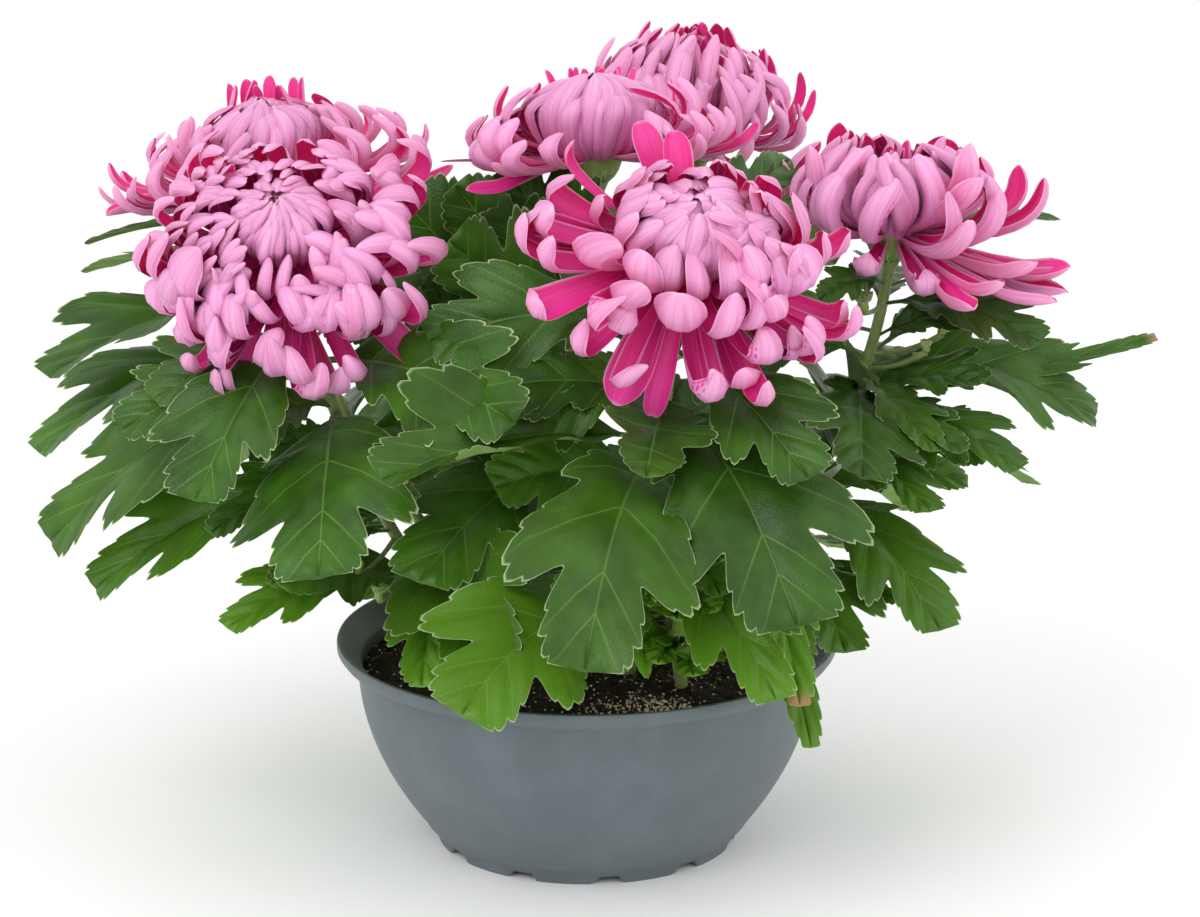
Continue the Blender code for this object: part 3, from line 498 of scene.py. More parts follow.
# A stem is a ribbed tube along its line, and its down is strewn over it and stands square to it
stalk_tree, given = tree_for("stalk", Sides="Int", Hair="Object", Down="Float", Seed="Int",
                             Skin="Material", Hair_Finish="Material")
line = put(stalk_tree, "GeometryNodeMeshToCurve", (given["Geometry"],))
ring = put(stalk_tree, "GeometryNodeCurvePrimitiveCircle", {"Resolution": given["Sides"], "Radius": 1.0})
order = put(stalk_tree, "GeometryNodeInputIndex")
odd = put(stalk_tree, "ShaderNodeMath", (order, 2.0), operation="MODULO")
ribbed = put(stalk_tree, "ShaderNodeMapRange", (odd, 0.0, 1.0, 1.0, 0.90))
spot = put(stalk_tree, "GeometryNodeInputPosition")
ribs = put(stalk_tree, "ShaderNodeVectorMath", {0: spot, "Scale": ribbed}, operation="SCALE")
ring = put(stalk_tree, "GeometryNodeSetPosition", {0: ring.outputs[0], "Position": ribs})
radius = put(stalk_tree, "GeometryNodeInputNamedAttribute", {"Name": "thickness"})
tube = put(stalk_tree, "GeometryNodeCurveToMesh",
           {"Curve": line, "Profile Curve": ring, "Scale": radius.outputs[0], "Fill Caps": True})
tube = put(stalk_tree, "GeometryNodeSetShadeSmooth", (tube,))
skin = put(stalk_tree, "GeometryNodeSetMaterial", {0: tube, "Material": given["Skin"]})
roots = put(stalk_tree, "GeometryNodeDistributePointsOnFaces",
            {"Mesh": tube, "Density": given["Down"], "Seed": given["Seed"]})
hair = put(stalk_tree, "GeometryNodeObjectInfo", (given["Hair"],)).outputs["Geometry"]
hairs = put(stalk_tree, "GeometryNodeInstanceOnPoints",
            {"Points": roots.outputs[0], "Instance": hair, "Rotation": roots.outputs["Rotation"]})
hairs = put(stalk_tree, "GeometryNodeRealizeInstances", (hairs,))
hairs = put(stalk_tree, "GeometryNodeSetMaterial", {0: hairs, "Material": given["Hair Finish"]})
whole = put(stalk_tree, "GeometryNodeJoinGeometry")
stalk_tree.links.new(hairs.outputs[0], whole.inputs[0])
stalk_tree.links.new(skin.outputs[0], whole.inputs[0])
put(stalk_tree, "NodeGroupOutput", (whole,))

# Stem skin: pale yellow green, darker in patches, with the satin of a soft living surface.
stem_skin, tree, shader = finish("downy stem skin", 0.55, Sheen_Weight=0.25)
where = put(tree, "ShaderNodeTexCoord").outputs["Object"]
tone = patches(tree, where, "#6f8a42", "#a3b06e", 60.0, 3.0)
fibre = put(tree, "ShaderNodeTexNoise", {"Vector": where, "Scale": 900.0})
bump = put(tree, "ShaderNodeBump", {"Strength": 0.3, "Distance": 0.0004, "Height": fibre.outputs[0]})
colour_and_bump(tree, shader, tone, bump)
down_finish, tree, shader = finish("stem down", 0.7)
shader.inputs["Base Color"].default_value = linear("#d5dbb6")

# One hair: a three-sided spike, drawn thicker than a real one, so that it shows
HAIR_RADIUS = 0.00007
HAIR_ENDS = (-0.0001, 0.0011)
spike = bpy.data.meshes.new("hair")
corners = [(HAIR_RADIUS * math.cos(2.1 * n), HAIR_RADIUS * math.sin(2.1 * n), HAIR_ENDS[0]) for n in range(3)]
spike.from_pydata(corners + [(0, 0, HAIR_ENDS[1])], [], [(2, 1, 0), (0, 1, 3), (1, 2, 3), (2, 0, 3)])
hair_shape = set_up("hair", spike)


# The petals
# Every petal is a long spoon: a narrow channel at its root, widest near its tip, its edges rolled
# towards the bloom's middle. Its inside is magenta and its outside pale lilac pink.
PETAL_ROWS = (0.0, 0.16, 0.30, 0.42, 0.52, 0.61, 0.69, 0.77, 0.84, 0.90, 0.945, 0.975, 0.992, 1.0)
PETAL_COLUMNS = 7
PETAL_THICKNESS = 0.00018  # on each side of its middle
PETAL_FURROW = 0.00022
STRAND_STEP = 64.0  # more than there are points round a petal
PETAL_WIDTH_CURVE = ((0.0, 0.30), (0.20, 0.44), (0.42, 0.72), (0.64, 0.96), (0.79, 1.00), (0.89, 0.90),
                     (0.95, 0.68), (0.986, 0.40), (1.0, 0.16))
BRACT_ROWS = (0.0, 0.25, 0.5, 0.72, 0.88, 0.97, 1.0)
BRACT_COLUMNS = 5
LEAN_STATIONS = (0.0, 0.40, 0.70, 1.0)


def petal_blank(name, rows, columns):
    """A flat closed petal: along it runs from 0 to 1, and across it from -1 to 1 on both faces."""
    across = [(2 * column / (columns - 1) - 1, 1) for column in range(columns)]
    across = [(aside, 0 if abs(aside) == 1 else face) for aside, face in across]
    across += [(aside, -1) for aside, face in reversed(across) if face]
    points = [(along, 0.1 * aside, 0.01 * face) for along in rows for aside, face in across]
    around = len(across)
    faces = [tuple(range(around)), tuple(range(len(points) - 1, len(points) - around - 1, -1))]
    for row in range(len(rows) - 1):
        for column in range(around):
            following = (column + 1) % around
            faces.append((row * around + column, (row + 1) * around + column,
                          (row + 1) * around + following, row * around + following))
    mesh = bpy.data.meshes.new(name)
    mesh.from_pydata(points, [], faces)
    steps = [0.0] + [after - before for before, after in zip(rows, rows[1:])]
    for label, values in (
        ("along", [along for along in rows for _ in across]),
        ("aside", [aside for _ in rows for aside, _ in across]),
        ("face", [float(face) for _ in rows for _, face in across]),
        ("step", [step for step in steps for _ in across]),
        ("column", [float(column) for _ in rows for column in range(around)]),
    ):
        mark(mesh, label, values)
    shape = bmesh.new()
    shape.from_mesh(mesh)
    bmesh.ops.recalc_face_normals(shape, faces=shape.faces)
    aside = shape.verts.layers.float["aside"]
    for edge in shape.edges:
        edge.smooth = any(abs(corner[aside]) < 1 for corner in edge.verts)
    shape.to_mesh(mesh)
    shape.free()
    return set_up(name, mesh)


def moved(tree, spot, *ways):
    """A spot moved by a distance along each of some directions."""
    for way, distance in ways:
        part = put(tree, "ShaderNodeVectorMath", {0: way, "Scale": distance}, operation="SCALE")
        spot = put(tree, "ShaderNodeVectorMath", (spot, part), operation="ADD")
    return spot


def clothed(tree, shapes, spot, face, front, back):
    """Ends a tree: its shapes get their final spots, and a finish on each of their two faces."""
    shapes = put(tree, "GeometryNodeSetPosition", {0: shapes, "Position": spot})
    shapes = put(tree, "GeometryNodeSetShadeSmooth", (shapes,))
    shapes = put(tree, "GeometryNodeSetMaterial", {0: shapes, "Material": front})
    behind = put(tree, "ShaderNodeMath", (face, 0.0), operation="LESS_THAN")
    shapes = put(tree, "GeometryNodeSetMaterial", {0: shapes, 1: behind, "Material": back})
    put(tree, "NodeGroupOutput", (shapes,))


# Petals are bent one by one: the lean of each changes along it, so it arches, hooks or closes over
# the bloom, while its edges roll in. The steps along a petal are summed to find its middle line
bending, given = tree_for("petals", Petal="Object", Thickness="Float", Furrow="Float",
                          Inside="Material", Outside="Material")
blank = put(bending, "GeometryNodeObjectInfo", (given["Petal"],)).outputs["Geometry"]
copies = put(bending, "GeometryNodeInstanceOnPoints", {"Points": given["Geometry"], "Instance": blank})
petals = put(bending, "GeometryNodeRealizeInstances", (copies,))
value = {name: put(bending, "GeometryNodeInputNamedAttribute", {"Name": name}).outputs[0] for name in (
    "along", "aside", "face", "step", "column", "petal", "length", "width", "root", "rise", "bearing", "lean",
    "bend_low", "bend_middle", "bend_tip", "roll_in", "roll_tip", "twist", "sway", "swirl", "squash")}
lean = value["lean"]
for start, end, bend in zip(LEAN_STATIONS, LEAN_STATIONS[1:], ("bend_low", "bend_middle", "bend_tip")):
    ramp = put(bending, "ShaderNodeMapRange", (value["along"], start, end, 0.0, value[bend]))
    lean = put(bending, "ShaderNodeMath", (lean, ramp), operation="ADD")
level, steep = (put(bending, "ShaderNodeMath", (lean,), operation=kind) for kind in ("COSINE", "SINE"))
ahead = put(bending, "ShaderNodeCombineXYZ", (level, 0.0, steep))
stride = put(bending, "ShaderNodeMath", (value["step"], value["length"]), operation="MULTIPLY")
stride = put(bending, "ShaderNodeVectorMath", {0: ahead, "Scale": stride}, operation="SCALE")
strand = put(bending, "ShaderNodeMath", (value["petal"], STRAND_STEP, value["column"]),
             operation="MULTIPLY_ADD")
line = put(bending, "GeometryNodeAccumulateField", (stride, strand), data_type="FLOAT_VECTOR")
tall = put(bending, "ShaderNodeCombineXYZ", (1.0, 1.0, value["squash"]))
line = put(bending, "ShaderNodeVectorMath", (line.outputs["Leading"], tall), operation="MULTIPLY")
root = put(bending, "ShaderNodeCombineXYZ", (value["root"], 0.0, value["rise"]))
centre = put(bending, "ShaderNodeVectorMath", (line, root), operation="ADD")

# The section: an arc of a circle with two shallow furrows in it, turned about the petal's own
# line by its twist, with a skin on each side. Each sum names its result, which later ones can use
back = put(bending, "ShaderNodeMath", (steep, -1.0), operation="MULTIPLY")
inward = put(bending, "ShaderNodeCombineXYZ", (back, 0.0, level))
turned_by = put(bending, "ShaderNodeMath", (value["twist"], value["along"]), operation="MULTIPLY")
inward = put(bending, "ShaderNodeVectorRotate", {"Vector": inward, "Axis": ahead, "Angle": turned_by},
             rotation_type="AXIS_ANGLE")
side = put(bending, "ShaderNodeVectorRotate", {"Vector": (0, 1, 0), "Axis": ahead, "Angle": turned_by},
           rotation_type="AXIS_ANGLE")
breadth = put(bending, "ShaderNodeFloatCurve", {"Value": value["along"]})
points = breadth.mapping.curves[0].points
for station, share in PETAL_WIDTH_CURVE[1:-1]:
    points.new(station, share)
for point, (station, share) in zip(points, PETAL_WIDTH_CURVE):
    point.location = (station, share)
breadth.mapping.update()
roll = put(bending, "ShaderNodeMapRange", (value["along"], 0.0, 1.0, value["roll_in"], value["roll_tip"]))
for result, operation, *parts in (
    ("half", "MULTIPLY", "width", 0.5),
    ("half", "MULTIPLY", "half", breadth),
    ("angle", "MULTIPLY", "aside", roll),
    ("radius", "DIVIDE", "half", roll),
    ("sine", "SINE", "angle"),
    ("cosine", "COSINE", "angle"),
    ("sideways", "MULTIPLY", "radius", "sine"),
    ("fall", "SUBTRACT", 1.0, "cosine"),
    ("lifted", "MULTIPLY", "radius", "fall"),
    ("wave", "MULTIPLY", "aside", 3 * math.pi),
    ("wave", "COSINE", "wave"),
    ("furrow", "MULTIPLY", breadth, given["Furrow"]),
    ("lifted", "MULTIPLY_ADD", "wave", "furrow", "lifted"),
    ("skin", "MULTIPLY", "face", given["Thickness"]),
    ("lifted", "MULTIPLY_ADD", "skin", "cosine", "lifted"),
    ("skin", "MULTIPLY", "skin", "sine"),
    ("sideways", "SUBTRACT", "sideways", "skin"),
    ("bow", "POWER", "along", 2.0),
    ("drift", "MULTIPLY", "bow", "sway"),
    ("about", "MULTIPLY_ADD", "bow", "swirl", "bearing"),
):
    parts = [value.get(part, part) for part in parts]
    value[result] = put(bending, "ShaderNodeMath", parts, operation=operation)
drift = put(bending, "ShaderNodeCombineXYZ", (0.0, value["drift"], 0.0))
centre = put(bending, "ShaderNodeVectorMath", (centre, drift), operation="ADD")
spot = moved(bending, centre, (side, value["sideways"]), (inward, value["lifted"]))
spot = put(bending, "ShaderNodeVectorRotate", {"Vector": spot, "Axis": (0, 0, 1), "Angle": value["about"]},
           rotation_type="AXIS_ANGLE")
clothed(bending, petals, spot, value["face"], given["Inside"], given["Outside"])


def petal_points(name, petals):
    """One point for each petal, with the petal's sizes as attributes."""
    mesh = bpy.data.meshes.new(name)
    mesh.from_pydata([(0, 0, 0)] * len(petals), [], [])
    columns = {label: [petal[label] for petal in petals] for label in petals[0]}
    columns["petal"] = [float(order) for order in range(len(petals))]
    for label, values in columns.items():
        mark(mesh, label, values)
    return mesh


def one_petal(bearing, length, width, root, rise, leans, roll=(1.1, 0.5), twist=0.0, sway=0.0,
              swirl=0.0, squash=1.0, tint=0.5):
    """The sizes of one petal, with its leans in degrees turned into bends."""
    leans = [math.radians(lean) for lean in leans]
    return {"bearing": bearing, "length": length, "width": width, "root": root, "rise": rise,
            "lean": leans[0], "bend_low": leans[1] - leans[0], "bend_middle": leans[2] - leans[1],
            "bend_tip": leans[3] - leans[2], "roll_in": roll[0], "roll_tip": roll[1], "twist": twist,
            "sway": sway, "swirl": swirl, "squash": squash, "tint": tint}


def layered(tree, tone, *coats):
    """A colour with others laid over it, each where its share says."""
    for share, colour in coats:
        tone = put(tree, "ShaderNodeMix", {0: share, 6: tone, 7: linear(colour)}, data_type="RGBA").outputs[2]
    return tone


def petal_finish(name, base, tip, line_colour, rim, line_strength, flank_strength, rim_strength):
    """Petal skin: colour runs from a darker root, partly painted shade, to its tip, deepens at the flanks,
    and pales at the very edge.
    """
    material, tree, shader = finish(name, 0.50, Subsurface_Weight=0.25, Subsurface_Scale=0.004)
    along, aside, tint = (put(tree, "ShaderNodeAttribute", attribute_name=label).outputs["Fac"]
                          for label in ("along", "aside", "tint"))
    # The root colour is darker than the tip's: partly the petal's own colour, partly painted shade deep in
    # the bloom.
    from_shaded_root = put(tree, "ShaderNodeMapRange", (along, 0.25, 0.95))
    stretched = put(tree, "ShaderNodeCombineXYZ", [
        put(tree, "ShaderNodeMath", pair, operation="MULTIPLY")
        for pair in ((aside, 5.0), (along, 1.4), (tint, 9.0))])
    lines = put(tree, "ShaderNodeTexNoise",
                {"Vector": stretched, "Scale": 1.6, "Detail": 3.0, "Roughness": 0.6})
    dark = put(tree, "ShaderNodeMapRange", (lines.outputs[0], 0.42, 0.72, 0.0, line_strength))
    flank = put(tree, "ShaderNodeMath", (aside,), operation="ABSOLUTE")
    deep = put(tree, "ShaderNodeMapRange", (flank, 0.30, 0.95, 0.0, flank_strength))
    edge = put(tree, "ShaderNodeMapRange", (flank, 0.86, 1.0, 0.0, rim_strength))
    tip_edge = put(tree, "ShaderNodeMapRange", (along, 0.97, 1.0, 0.0, 0.7 * rim_strength))
    edge = put(tree, "ShaderNodeMath", (edge, tip_edge), operation="MAXIMUM")
    tone = layered(tree, linear(base), (from_shaded_root, tip), (dark, line_colour), (deep, line_colour), (edge, rim))
    light = put(tree, "ShaderNodeMapRange", (tint, 0.0, 1.0, 0.92, 1.08))
    tone = put(tree, "ShaderNodeHueSaturation", {"Value": light, "Color": tone})
    bump = put(tree, "ShaderNodeBump", {"Strength": 0.35, "Distance": 0.0005, "Height": lines.outputs[0]})
    colour_and_bump(tree, shader, tone.outputs[0], bump)
    return material


# Petal skins: satin, the colour in the sap of the cells just under it. The inside is deep magenta,
# the outside has a pale bloom over it and shows only a little of that colour in its grooves.
# Both skins run from a darker root colour, partly painted shade, to a lighter tip colour.
magenta = petal_finish("petal inside", "#df1c85", "#f545a6", "#b80f63", "#f4b2d8", 0.45, 0.20, 0.80)
lilac = petal_finish("petal outside", "#e383bb", "#f7aad3", "#c8589c", "#fbcfe7", 0.50, 0.55, 0.45)

# How much further the loose petals of a bloom roll up than on the others, so that they show more
# of their outsides
ROLLED_BLOOMS = {"right": 1.7}

# Each bloom, in millimetres: the radius and the flatness of the ball in its middle, its ribs, and
# the fans of petals about it. A fan runs from one bearing to another, in degrees from the viewer's
# right, and gives the count, length, width and rise of its petals and their leans in degrees at
# the four lean stations
BLOOMS = {
    "front": (30, 0.76, 16, [
        (40, 150, 8, 64, 13, 8, (4, 46, 84, 140)),
        (20, 160, 8, 70, 16, 2, (-20, 20, 80, 150)),
        (118, 118, 1, 64, 16.5, 10, (24, 32, 38, 30)),
        (104, 104, 1, 56, 18.5, 10, (30, 44, 48, 42)),
        (-38, 40, 8, 64, 13.5, 10, (-2, 50, 102, 155)),
        (-50, 34, 6, 80, 16.5, 6, (-10, 20, 90, 165)),
        (134, 166, 4, 66, 18, 9, (2, 30, 98, 160)),
        (148, 148, 1, 88, 9, 8, (8, 6, 40, 120)),
        (160, 204, 4, 64, 19.5, 7, (-6, 32, 102, 165)),
        (165, 196, 3, 90, 21.5, 8, (4, -4, 24, 150)),
        (174, 216, 4, 95, 20.5, 6, (0, -10, -4, 110)),
        (204, 222, 2, 80, 23.5, 8, (4, 2, 62, 150)),
        (222, 238, 2, 92, 19, 5, (-6, -32, -20, 160)),
        (243, 243, 1, 79, 25.5, 4, (-10, -40, -44, -10)),
        (260, 260, 1, 81, 17.5, 4, (-8, -40, -48, -70)),
        (236, 236, 1, 80, 20, 8, (4, -16, 20, 200)),
        (236, 256, 2, 64, 21.5, 10, (0, 16, 98, 180)),
        (264, 264, 1, 82, 30, 8, (-6, -8, 72, 130)),
        (278, 302, 3, 70, 20, 9, (0, 6, 92, 170)),
        (272, 312, 5, 92, 19, 5, (-8, -34, 4, 165)),
        (284, 326, 5, 78, 18, 7, (-4, -12, 72, 165)),
        (312, 342, 4, 86, 19, 8, (-2, -4, 68, 160)),
        (302, 340, 5, 100, 18, 5, (-6, -26, 4, 150)),
        (338, 366, 4, 80, 19, 8, (2, 14, 86, 160)),
        (352, 364, 2, 84, 19, 5, (-4, -14, 16, 110)),
    ]),
    "front_left": (25, 0.92, 30, [
        (40, 140, 8, 60, 10.5, 6, (-6, 24, 94, 150)),
        (24, 150, 10, 70, 11.5, 4, (-10, 4, 80, 150)),
        (116, 226, 15, 60, 7.8, 6, (-6, 20, 92, 172)),
        (118, 228, 16, 70, 8.6, 5, (-8, 0, 80, 174)),
        (124, 232, 15, 83, 9.6, 4, (-10, -20, 72, 172)),
        (132, 236, 10, 90, 11, 4, (-10, -18, 50, 165)),
        (-60, 36, 7, 62, 12.5, 5, (-8, 16, 88, 170)),
        (-66, 40, 8, 74, 13.5, 6, (-8, 4, 80, 180)),
        (-60, 36, 8, 88, 14, 6, (-6, -10, 66, 180)),
        (-50, 30, 7, 98, 14, 5, (-6, -10, 44, 195)),
        (234, 306, 7, 60, 12, 4, (-12, 6, 78, 170)),
        (222, 318, 9, 68, 13, 4, (-10, -6, 66, 190)),
        (215, 322, 9, 78, 14, 5, (-8, -16, 54, 195)),
        (208, 312, 9, 88, 14.5, 5, (-6, -24, 40, 190)),
        (214, 296, 9, 94, 14.5, 5, (-8, -34, 16, 195)),
        (226, 280, 6, 97, 15, 4, (-10, -46, -14, 160)),
        (190, 222, 4, 94, 20, 6, (-4, -10, 40, 165)),
        (304, 324, 3, 90, 19, 6, (-4, -18, 30, 180)),
        (321, 321, 1, 84, 18, 4, (-4, -24, -30, -26)),
    ]),
    "back_left": (37, 0.62, 26, [
        (10, 166, 10, 71, 9.5, 8, (38, 70, 90, 92)),
        (150, 232, 8, 76, 12, 6, (-8, 26, 84, 124)),
        (150, 250, 10, 92, 12.5, 4, (-10, -6, 48, 130)),
        (176, 240, 6, 94, 13, 3, (-12, -14, 20, 110)),
        (-34, 60, 8, 82, 12.5, 6, (-8, 28, 90, 150)),
        (-60, 56, 9, 96, 12.5, 5, (-8, 2, 62, 160)),
        (-70, 50, 9, 96, 12.5, 3, (-10, -14, 8, 100)),
        (196, 196, 1, 80, 18, 4, (-6, -12, -10, -4)),
        (230, 310, 9, 88, 12, 6, (-4, -6, 50, 150)),
        (50, 160, 11, 86, 13, 3, (-14, -4, 50, 140)),
    ]),
    "back_right": (20.5, 0.98, 20, [
        (30, 150, 8, 46, 6.5, 10, (54, 86, 100, 112)),
        (50, 270, 12, 60, 9, 10, (-6, 58, 106, 132)),
        (60, 270, 13, 74, 12, 8, (-6, 38, 98, 142)),
        (110, 250, 11, 86, 14, 6, (-8, 16, 84, 150)),
        (160, 260, 8, 84, 13, 5, (-8, -4, 64, 155)),
        (-85, 50, 9, 54, 9, 10, (-6, 50, 106, 145)),
        (-85, 60, 10, 64, 10, 8, (-6, 28, 98, 165)),
        (-90, 60, 10, 72, 11, 6, (-8, 6, 78, 165)),
        (-90, 20, 9, 62, 11, 4, (-8, -14, 30, 130)),
        (200, 290, 8, 82, 12, 6, (-6, 0, 76, 160)),
        (40, 160, 10, 78, 12, 5, (-6, 6, 64, 140)),
    ]),
    "middle": (39, 0.58, 24, [
        (30, 150, 10, 66, 7, 8, (40, 76, 92, 94)),
        (100, 196, 9, 86, 10.5, 6, (-6, 26, 88, 135)),
        (120, 222, 10, 88, 12, 4, (-10, 0, 66, 150)),
        (150, 240, 8, 82, 12, 3, (-12, -12, 40, 160)),
        (-26, 70, 9, 84, 11.5, 6, (-6, 26, 88, 140)),
        (-56, 60, 10, 86, 12, 4, (-8, 2, 60, 150)),
        (-50, 40, 7, 80, 12, 3, (-10, -6, 30, 120)),
        (184, 184, 1, 70, 7, 4, (-4, 0, 8, 6)),
        (205, 222, 2, 68, 13, 4, (-14, -20, -10, 60)),
        (40, 150, 10, 78, 12, 5, (-4, 10, 60, 145)),
    ]),
    "right": (23.6, 0.80, 13, [
        (30, 150, 6, 48, 7.5, 10, (54, 86, 100, 104)),
        (96, 250, 6, 66, 13.5, 8, (-4, 54, 106, 138)),
        (252, 452, 7, 67, 15.5, 8, (-4, 48, 100, 148)),
        (200, 330, 6, 72, 15, 6, (-8, 44, 100, 142)),
        (105, 250, 10, 80, 14, 7, (-8, 34, 98, 145)),
        (140, 245, 8, 84, 14, 5, (-8, 10, 76, 145)),
        (-80, 70, 10, 78, 15, 7, (-4, 34, 96, 145)),
        (-46, -26, 2, 78, 23, 8, (10, 34, 66, 110)),
        (-75, 40, 9, 86, 15, 5, (-8, 4, 50, 120)),
        (-64, 6, 7, 86, 15, 4, (-14, -26, -12, 50)),
        (28, 28, 1, 57, 18, 9, (36, 52, 66, 78)),
        (176, 176, 1, 70, 15, 4, (0, 10, 16, 20)),
        (286, 286, 1, 70, 21, 4, (-10, -46, 0, 170)),
        (250, 250, 1, 58, 19, 4, (-10, -40, 10, 150)),
        (40, 150, 9, 74, 15, 5, (-6, 20, 90, 150)),
    ]),
}

# The ball of a bloom, layer by layer inwards: its share of the ribs and of the ball's radius, its
# petals' length in such radii, and their leans. The tips of each layer end in a narrower ring than
# those of the layer outside it, so that they make an open whorl on top
BALL_LAYERS = (
    (1.00, 1.00, 2.20, (-8, 68, 88, 174)),
    (1.00, 0.94, 2.40, (0, 70, 96, 168)),
    (0.90, 0.84, 2.58, (8, 74, 100, 158)),
    (0.76, 0.72, 2.70, (18, 78, 104, 144)),
    (0.60, 0.60, 2.86, (30, 76, 106, 128)),
    (0.46, 0.46, 3.20, (46, 77, 104, 116)),
    (0.36, 0.34, 3.80, (58, 80, 100, 106)),
    (0.24, 0.24, 4.60, (70, 84, 94, 98)),
)
MILLIMETRE = 0.001
PETAL_ROOT = 0.004
BALL_OVERLAP = 1.42  # how wide a rib is, in shares of its room on the ball
LAYER_RISE = 0.0005
SWIRL = (0.25, 0.08)  # in radians, and how much more for each layer further in
BALL_ROLL = (1.45, 1.2)  # how far a petal's edges roll in, in radians, at its root and at its tip
BALL_TWIST = 0.2
BALL_LENGTHS = (0.93, 1.07)
FAN_ROLL = 1.3
FAN_TIP_ROLLS = (0.6, 1.7)
FAN_TWIST = 0.50
FAN_SWAY = 0.010
FAN_WIDTHS = (0.82, 1.16)
FAN_LENGTHS = 0.06  # how much longer or shorter a petal can be, as a share of its length
SPREAD = 5  # how far a petal leans or stands off its place, in degrees

# How much the hooks of the loose petals differ, in degrees. Half of that is left where petals lie
# combed, at the back and the left of a bloom, and a fifth where a petal is set by itself
HOOK_SPREAD = 14
COMBED = 0.5
COMBED_FROM = 60
COMBED_TO = 190
SINGLE = 0.2


def bloom_frame(name):
    """A bloom's own axes: X to the viewer's right, Z along its axis, origin on its seat."""
    _, seat, axis, _ = STEMS[name]
    axis = Vector(axis).normalized()
    right = (Vector((1, 0, 0)) - axis * axis.x).normalized()
    turn = Matrix((right, axis.cross(right), axis)).transposed()
    return Matrix.Translation(seat) @ turn.to_4x4()


def bloom_petals(name):
    """All the petals of a bloom: the layers of its ball, then its fans."""
    radius, flatness, ribs, fans = BLOOMS[name]
    radius *= MILLIMETRE
    draw = random.Random(name)
    petals = []
    rolling = ROLLED_BLOOMS.get(name, 1.0)
    for layer, (share, size, reach, leans) in enumerate(BALL_LAYERS):
        count = round(ribs * share)
        span = radius * size
        for index in range(count):
            bearing = 2 * math.pi * (index + 0.5 * (layer % 2)) / count + draw.uniform(-0.06, 0.06)
            tilt = draw.uniform(-SPREAD, SPREAD)
            petals.append(one_petal(
                bearing, span * reach * draw.uniform(*BALL_LENGTHS),
                2 * math.pi * span / count * BALL_OVERLAP, 0.75 * PETAL_ROOT, LAYER_RISE * layer,
                [lean + tilt for lean in leans], roll=BALL_ROLL,
                twist=draw.uniform(-BALL_TWIST, BALL_TWIST) * (1 + layer / 2),
                swirl=SWIRL[0] + SWIRL[1] * layer, squash=flatness, tint=draw.random()))
    for first, last, count, length, width, rise, leans in fans:
        for index in range(count):
            share = index / (count - 1) if count > 1 else 0.5
            combed = COMBED_FROM <= (first + last) / 2 % 360 <= COMBED_TO
            loose = SINGLE if count == 1 else COMBED if combed else 1.0
            bend = loose * draw.gauss(0, HOOK_SPREAD)
            petals.append(one_petal(
                math.radians(first + (last - first) * share + loose * draw.uniform(-SPREAD, SPREAD)),
                length * MILLIMETRE * (1 + FAN_LENGTHS * loose * draw.uniform(-1, 1)),
                width * MILLIMETRE * (0.5 + 0.5 * rolling) * draw.uniform(*FAN_WIDTHS),
                PETAL_ROOT, rise * MILLIMETRE,
                (leans[0], leans[1] + 0.4 * bend, leans[2] + bend, leans[3] + 1.6 * bend),
                roll=(FAN_ROLL * rolling, rolling * draw.uniform(*FAN_TIP_ROLLS)),
                twist=loose * draw.gauss(0, FAN_TWIST), sway=loose * draw.gauss(0, FAN_SWAY),
                squash=flatness, tint=draw.random()))
    return petals


petal_shape = petal_blank("petal", PETAL_ROWS, PETAL_COLUMNS)
for name in BLOOMS:
    mesh = grown("petals_" + name, petal_points(name, bloom_petals(name)), bending, Petal=petal_shape,
                 Thickness=PETAL_THICKNESS, Furrow=PETAL_FURROW, Inside=magenta, Outside=lilac)
    mesh.transform(bloom_frame(name))
    place("petals_" + name, mesh, None, "petals", "bloom_" + name)
bpy.data.objects.remove(petal_shape)


# The stalks, cups and buds
# Small green bracts, bent like petals, lie over one another round the cup under a bloom, and close
# over a bud. They are thin and dry at their edges, and stand on the stems and side stalks.
CUP_BRACTS = 13  # in each layer
BUD_BRACTS = 8
BRACT_LAYERS = 3
BRACT_THICKNESS = 0.0002
STEM_DOWN = 260000.0  # hairs in a square metre


def whorls(count):
    """The layer and the bearing of each bract, where every layer covers the gaps of the one before."""
    return [(layer, 2 * math.pi * (index + 0.5 * layer) / count)
            for layer in range(BRACT_LAYERS) for index in range(count)]


